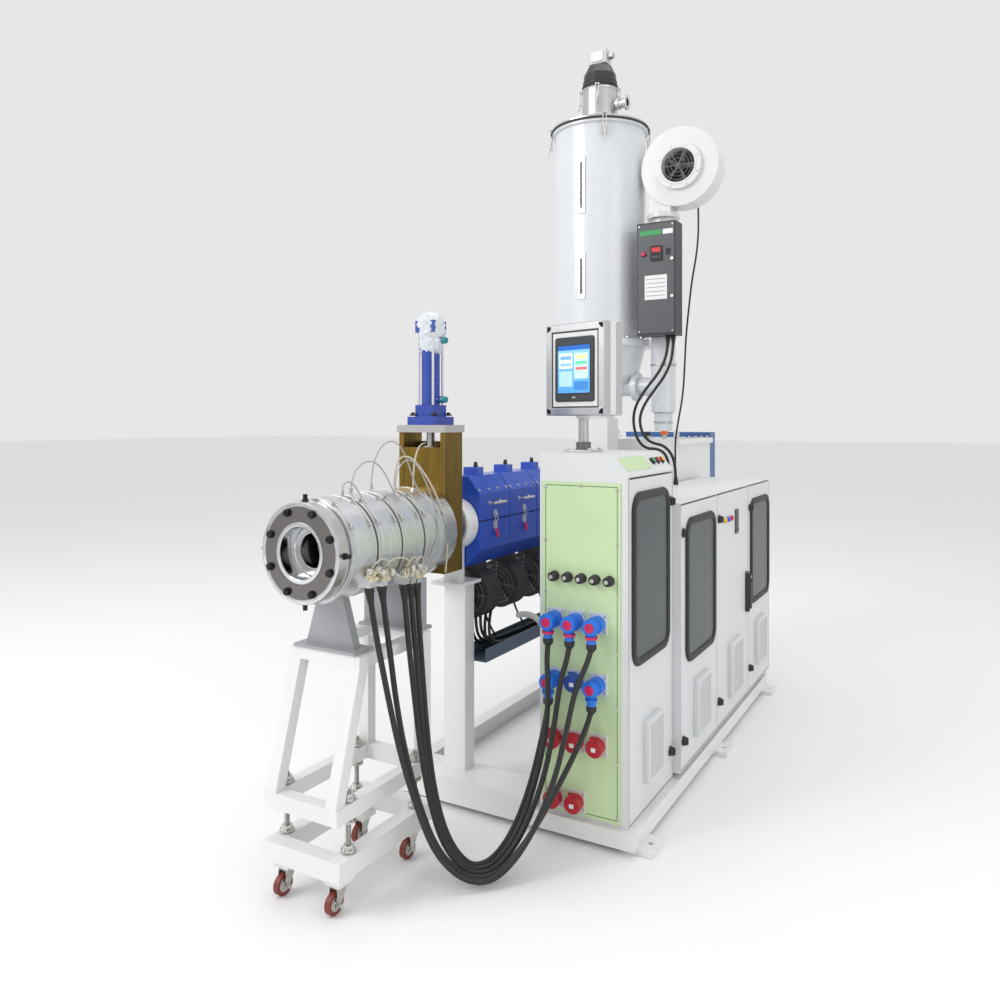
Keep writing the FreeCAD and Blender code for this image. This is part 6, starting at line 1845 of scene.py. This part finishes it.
class EXTRUDER_OT_hoses(Operator):
    """Black looms into the tray and white water hoses beside the barrel post."""

    bl_idname = "extruder.hoses"
    bl_label = "Looms and hoses"

    def execute(self, context):
        looms = []
        for step in range(5):
            x, lift = -0.255 + 0.018 * step, 0.01 * (step % 3)
            looms.append([(x - 0.02, -0.6 + 0.01 * step, 0.69 + lift), (x, -0.628, 0.62 + lift),
                (x + 0.006, -0.61, 0.56 + lift), (x + 0.004, -0.52, 0.54 + lift),
                (x, -0.38 + 0.05 * step, 0.532 + lift), (x, 0.2, 0.53 + lift)])
        leads("tray_looms", looms, 0.012, "cable_rubber", slot="black_rubber")
        hoses = [
            [(-0.165, -0.42, 0.64), (-0.09, -0.43, 0.665), (-0.02, -0.44, 0.61), (0.0, -0.44, 0.48),
             (-0.01, -0.43, 0.34), (0.03, -0.4, 0.24), (0.1, -0.38, 0.215)],
            [(-0.165, -0.15, 0.64), (-0.08, -0.16, 0.68), (0.0, -0.17, 0.6), (0.012, -0.175, 0.44),
             (0.0, -0.16, 0.3), (0.04, -0.14, 0.22), (0.11, -0.13, 0.205)],
            [(-0.165, 0.12, 0.64), (-0.08, 0.11, 0.69), (0.004, 0.1, 0.61), (0.02, 0.09, 0.43),
             (0.01, 0.08, 0.29), (0.05, 0.09, 0.21), (0.112, 0.095, 0.2)],
        ]
        leads("water_hoses", hoses, 0.024, "white_hose")
        return {"FINISHED"}


# Hopper, loader, blower and controls

def clamp(bm, centre, radius, angle, z, drop, paint=0):
    """A toggle clamp hooked over a rim."""
    turn = radians(angle)
    start = len(bm.verts)
    block(bm, (radius - 0.001, -0.014, -drop), (radius + 0.005, 0.014, -drop * 0.45), paint)
    block(bm, (radius + 0.005, -0.009, -drop * 0.92), (radius + 0.013, 0.009, -drop * 0.5), paint)
    for side in (-0.008, 0.008):
        rod(bm, (radius + 0.012, side, -drop * 0.62), UP, 0.002, drop * 0.66, paint, 12)
    block(bm, (radius - 0.01, -0.012, -0.001), (radius + 0.016, 0.012, 0.005), paint)
    rod(bm, (radius + 0.013, 0, -drop * 0.7), (0.2, 0, -1), 0.0048, drop * 0.62, paint, 16)
    bm.verts.ensure_lookup_table()
    bmesh.ops.transform(bm, verts=bm.verts[start:], matrix=Matrix.Translation(
        (centre.x, centre.y, z)) @ Matrix.Rotation(turn, 4, "Z"))


class EXTRUDER_OT_hopper_trim(Operator):
    """Sight windows, rim clamps and flange bolts of the drying hopper."""

    bl_idname = "extruder.hopper_trim"
    bl_label = "Hopper trim"

    def execute(self, context):
        front, axis = FEED_Y - 0.235, Vector((LID.x, FEED_Y, 0))

        def sights(bm):
            for low, high in ((2.464, 2.748), (2.035, 2.265)):
                carry = facing_front(axis.x, front, (low + high) / 2)
                rounded_slab(bm, carry, 0.042, high - low, 0.006, -0.004, 0.005, 0, 0.0015)
                rounded_slab(bm, carry, 0.014, high - low - 0.05, 0.006, 0.005, 0.0058, 1, 0.0003)

        piece("sight_windows", sights, ["satin_steel", "smoky_glass"], slot="bright_steel")
        seats = [(axis.x + x, front - 0.003, z) for low, high in ((2.464, 2.748), (2.035, 2.265))
                 for x in (-0.0145, 0.0145) for z in (low + 0.012, (low + high) / 2, high - 0.012)]
        screws("sight_screws", seats, FRONT, 0.0034, 0.0028, sides=20, washer=1.2)
        around = [(axis.x + x, axis.y + y, 1.838) for x, y in ring_of(16, 0.25)]
        screws("hopper_flange_bolts", around, UP, 0.0085, 0.0075)

        def rim(bm):
            for angle in (-62, 28, 118, 208):
                clamp(bm, axis, 0.2485, angle, 2.948, 0.105)
            hoop(bm, (axis.x, axis.y, 2.9325), UP, 0.252, 0.0055, 1, 96, 10)

        piece("rim_clamps", rim, ["bright_steel", "black_plastic"], slot="bright_steel", soften=0.0008)
        return {"FINISHED"}


class EXTRUDER_OT_loader_trim(Operator):
    """Clamps, bands and hose spigot of the vacuum loader."""

    bl_idname = "extruder.loader_trim"
    bl_label = "Loader trim"

    def execute(self, context):
        axis = Vector((LID.x, FEED_Y, 0))
        low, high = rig.box("loader")

        def bands(bm):
            for z, wide in ((3.15, 0.0045), (3.008, 0.0035)):
                hoop(bm, (axis.x, axis.y, z), UP, 0.0925, wide, 0, 72, 10)
            for angle in (-75, 15, 105, 195):
                clamp(bm, axis, 0.0925, angle, 3.156, 0.072)
            turned(bm, (high.x - 0.004, FEED_Y, 3.07), SIDE, [
                (0.0255, -0.05), (0.03, -0.049), (0.03, -0.038), (0.0255, -0.037)], 0, 36)
            turned(bm, (high.x - 0.001, FEED_Y, 3.07), SIDE, [
                (0.0385, 0), (0.0385, 0.003), (0.023, 0.0035), (0.0215, 0.001), (0, 0.001)], 0, 40)

        piece("loader_bands", bands, ["bright_steel"], slot="bright_steel", soften=0.0006)

        def crown(bm):
            for ring in range(4):
                turned(bm, (axis.x, axis.y, 3.168 + 0.02 * ring), UP, [(0.084 - 0.003 * ring, 0),
                    (0.0935 - 0.004 * ring, 0.002), (0.0935 - 0.004 * ring, 0.008),
                    (0.084 - 0.003 * ring, 0.01)], 0, 64)
            rounded_slab(bm, facing_front(axis.x, FEED_Y - 0.038, 3.326), 0.07, 0.052, 0.006, -0.002, 0.004,
                1, 0.0012)
            rod(bm, (axis.x + 0.047, FEED_Y, 3.33), SIDE, 0.018, 0.03, 1, 32, 0.002)
            rod(bm, (axis.x + 0.012, FEED_Y, high.z - 0.002), UP, 0.014, 0.012, 1, 28, 0.002)

        piece("loader_crown", crown, ["black_plastic", "satin_steel"], soften=0.0006)
        return {"FINISHED"}


EYE = Vector((0.1775, 0.5885, 2.68))


class EXTRUDER_OT_blower_trim(Operator):
    """The impeller in the blower's eye, its ring screws and the heater's flange bolts."""

    bl_idname = "extruder.blower_trim"
    bl_label = "Blower trim"

    def execute(self, context):
        count = sizes().blades
        bladed("impeller_blades", [EYE + Vector((0, 0.034, 0))], (0.052, 0.024, 0.0024), count, 0.051,
               "vent_shadow", 0.9)

        def hub(bm):
            rod(bm, EYE + Vector((0, 0.014, 0)), REAR, 0.024, 0.04, 0, 40, 0.006)
            rod(bm, EYE + Vector((0, 0.06, 0)), REAR, 0.0825, 0.004, 1, 64)
            turned(bm, EYE, FRONT, [(0.0835, -0.004), (0.0835, 0.0005), (0.087, 0.003), (0.093, 0.003),
                (0.095, -0.0005)], 2, 72)
            for radius in (0.036, 0.054, 0.072):
                hoop(bm, EYE + Vector((0, 0.002, 0)), REAR, radius, 0.0011, 3, 56, 6)

        piece("impeller_hub", hub, ["bezel_plastic", "black_plastic", "blower_paint", "dark_steel"])
        bladed("eye_spokes", [EYE + Vector((0, 0.003, 0))], (0.082, 0.0022, 0.0022), 6, 0.043, "dark_steel")
        ring = [EYE + Vector((x, 0, z)) for x, z in ring_of(8, 0.103)]
        screws("eye_screws", ring, FRONT, 0.0046, 0.0035, sides=20, washer=1.3)
        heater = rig.box("air_heater")
        tube = Vector((heater[1].x - 0.0615, FEED_Y, 0))
        bolts = [tube + Vector((x, y, 2.462)) for x, y in ring_of(6, 0.073)]
        screws("outlet_bolts", bolts, UP, 0.005, 0.0045)

        def joints(bm):
            for z in (1.7, 1.965, 2.4):
                turned(bm, (tube.x, tube.y, z), UP, [
                    (0.061, 0), (0.0655, 0.0012), (0.0655, 0.0108), (0.061, 0.012)], 0, 64)
            for z in (1.47, 1.42):
                turned(bm, (tube.x, tube.y, z - 0.006), UP, [
                    (0.0445, 0), (0.049, 0.001), (0.049, 0.009), (0.0445, 0.01)], 0, 56)

        piece("heater_bands", joints, ["satin_steel"], slot="bright_steel")
        return {"FINISHED"}


class EXTRUDER_OT_control_face(Operator):
    """Plain header, controller, knob, rocker, plate and lock on the hopper's control box."""

    bl_idname = "extruder.control_face"
    bl_label = "Control box face"

    def execute(self, context):
        low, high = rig.box("control_box")
        across = (low.x + high.x) / 2
        centre = (low.z + high.z) / 2

        def face(bm):
            plates = [
                (0, centre, 0.184, 0.53, 0.006, -0.001, 0.0045, 0, 0.0015),
                (-0.026, 2.338, 0.112, 0.024, 0.002, 0.004, 0.0052, 1, 0.0003),
                (0.06, 2.338, 0.05, 0.024, 0.002, 0.004, 0.0052, 2, 0.0003),
                (0.004, 2.236, 0.06, 0.074, 0.004, 0.004, 0.011, 3, 0.0015),
                (0.004, 2.252, 0.044, 0.022, 0.002, 0.011, 0.0116, 4, 0.0003),
                *((-0.012 + 0.016 * step, 2.218, 0.011, 0.009, 0.002, 0.011, 0.0125, 5, 0.0004)
                  for step in range(3)),
                (0.062, 2.24, 0.02, 0.03, 0.003, 0.004, 0.009, 3, 0.0012),
                (0, 2.072, 0.112, 0.118, 0.003, 0.004, 0.005, 6, 0.0003),
                *((0, 2.112 - 0.02 * row, 0.096, 0.0022, 0.001, 0.005, 0.0053, 0, 0.0001, 3)
                  for row in range(5)),
            ]
            for x, z, *plate in plates:
                rounded_slab(bm, facing_front(across + x, low.y, z), *plate)
            place = Vector((across - 0.06, low.y - 0.004, 2.236))
            rod(bm, place, FRONT, 0.0135, 0.004, 3, 32, 0.001)
            rod(bm, place + Vector((0, -0.003, 0)), FRONT, 0.01, 0.012, 7, 28, 0.002)
            lock = Vector((high.x - 0.016, low.y - 0.004, centre - 0.09))
            rod(bm, lock, FRONT, 0.0085, 0.006, 8, 24, 0.001)
            rod(bm, lock + Vector((0, 0, 0.18)), FRONT, 0.0085, 0.006, 8, 24, 0.001)

        piece("control_face", face, ["face_grey", "label_green", "label_white", "black_plastic", "red_lens",
            "face_grey", "label_white", "plug_red", "zinc"])
        corners = [(across + x, low.y - 0.004, centre + z) for x in (-0.084, 0.084)
            for z in (-0.256, 0.256)]
        screws("control_face_screws", corners, FRONT, 0.0034, 0.0024, sides=20, washer=1.25)
        return {"FINISHED"}


# Drive, trolley and base

class EXTRUDER_OT_drive_trim(Operator):
    """Breather, valve and lid bolts on the gearbox, and fins on the motor."""

    bl_idname = "extruder.drive_trim"
    bl_label = "Drive trim"

    def execute(self, context):
        low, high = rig.box("gearbox")
        lid = 1.33

        def crown(bm):
            x, y = low.x + 0.33, 1.04
            rod(bm, (x, y, lid - 0.001), UP, 0.013, 0.016, 0, 6, 0.0015)
            turned(bm, (x, y, lid + 0.014), UP, [
                (0, 0), (0.016, 0), (0.019, 0.004), (0.019, 0.016), (0.014, 0.022), (0, 0.023)], 1, 32)
            x = high.x - 0.11
            rod(bm, (x, 0.9, lid - 0.001), UP, 0.012, 0.03, 0, 24, 0.001)
            rod(bm, (x, 0.876, lid + 0.034), REAR, 0.015, 0.052, 2, 28, 0.002)
            block(bm, (x - 0.007, 0.89, lid + 0.048), (x + 0.007, 0.985, lid + 0.056), 1)
            rod(bm, (low.x + 0.33, low.y + 0.24, lid - 0.001), UP, 0.03, 0.01, 0, 40, 0.002)

        piece("gearbox_crown", crown, ["zinc", "black_plastic", "orange_grip"], soften=0.0008)
        edge = 0.026
        along = [0.846 + step * (1.408 - 0.846) / 5 for step in range(6)]
        seats = [(x, y, lid) for x in (low.x + edge, high.x - edge) for y in along]
        screws("gearbox_lid_bolts", seats, UP, 0.0085, 0.008)
        box_low, box_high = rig.box("drive_motor")
        centre = Vector(((box_low.x + box_high.x) / 2 + 0.01, (box_low.y + box_high.y) / 2,
            box_high.z - 0.135))
        bladed("motor_fins", [centre], (0.018, 0.003, 0.15), 44, 0.14, "motor_paint",
               turn=(0, radians(90), 0))
        return {"FINISHED"}


class EXTRUDER_OT_trolley_trim(Operator):
    """Hexagon nuts on the jack screws and hub caps on the casters."""

    bl_idname = "extruder.trolley_trim"
    bl_label = "Trolley nuts and hubs"

    def execute(self, context):
        low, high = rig.box("jack_screws")
        places = [(x, y) for x in (low.x + 0.016, high.x - 0.016) for y in (low.y + 0.016, high.y - 0.016)]
        screws("jack_nuts", [(x, y, z) for x, y in places for z in (0.168, 0.253, 0.318)], UP,
               0.0185, 0.0155, washer=1.2)
        for number in range(1, 5):
            hub = middle(f"caster_wheel_{number}")

            def caps(bm):
                for side in (-1, 1):
                    turned(bm, (hub.x + side * 0.0085, hub.y, hub.z), (side, 0, 0), [
                        (0.0215, 0), (0.0205, 0.0012), (0.012, 0.0016), (0.01, 0.0034), (0.0052, 0.0036),
                        (0.0048, 0)], 0, 36)

            piece(f"hub_caps_{number}", caps, ["zinc"], f"wheel_{number}")
            fork_low, fork_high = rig.box(f"caster_fork_{number}")

            def axle(bm):
                rod(bm, (fork_low.x + 0.0005, hub.y, hub.z), (-1, 0, 0), 0.0075, 0.005, 0, 6, 0.0008)
                rod(bm, (fork_high.x - 0.0005, hub.y, hub.z), SIDE, 0.0075, 0.005, 0, 6, 0.0008)

            piece(f"axle_nuts_{number}", axle, ["zinc"], f"fork_{number}")
        return {"FINISHED"}


# Every operator above, in the order written, which is the order they run in
OPERATORS = [each for name, each in list(globals().items()) if name.startswith("EXTRUDER_OT_")]


class EXTRUDER_PT_panel(bpy.types.Panel):
    """Lists the sizes, the colours and every step."""

    bl_idname = "EXTRUDER_PT_panel"
    bl_label = "Plastic Extruder"
    bl_space_type = "VIEW_3D"
    bl_region_type = "UI"
    bl_category = "Extruder"

    def draw(self, context):
        for group in (context.scene.extruder_sizes, context.scene.extruder_colours):
            for name in group.__annotations__:
                self.layout.prop(group, name)
        for operator in OPERATORS:
            self.layout.operator(operator.bl_idname)


CLASSES = [ExtruderSizes, ExtruderColours, *OPERATORS, EXTRUDER_PT_panel]


def register():
    for each in CLASSES:
        bpy.utils.register_class(each)
    bpy.types.Scene.extruder_sizes = PointerProperty(type=ExtruderSizes)
    bpy.types.Scene.extruder_colours = PointerProperty(type=ExtruderColours)


def unregister():
    del bpy.types.Scene.extruder_colours
    del bpy.types.Scene.extruder_sizes
    for each in reversed(CLASSES):
        bpy.utils.unregister_class(each)


def main():
    register()
    for operator in OPERATORS:
        group, call = operator.bl_idname.split(".")
        getattr(getattr(bpy.ops, group), call)()
    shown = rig.bounds()
    with open(SIZE_FILE, "w") as file:
        json.dump({"cad": [list(corner) for corner in CAD_BOX],
            "visual": [list(corner) for corner in shown]}, file)


if __name__ == "__main__":
    main()
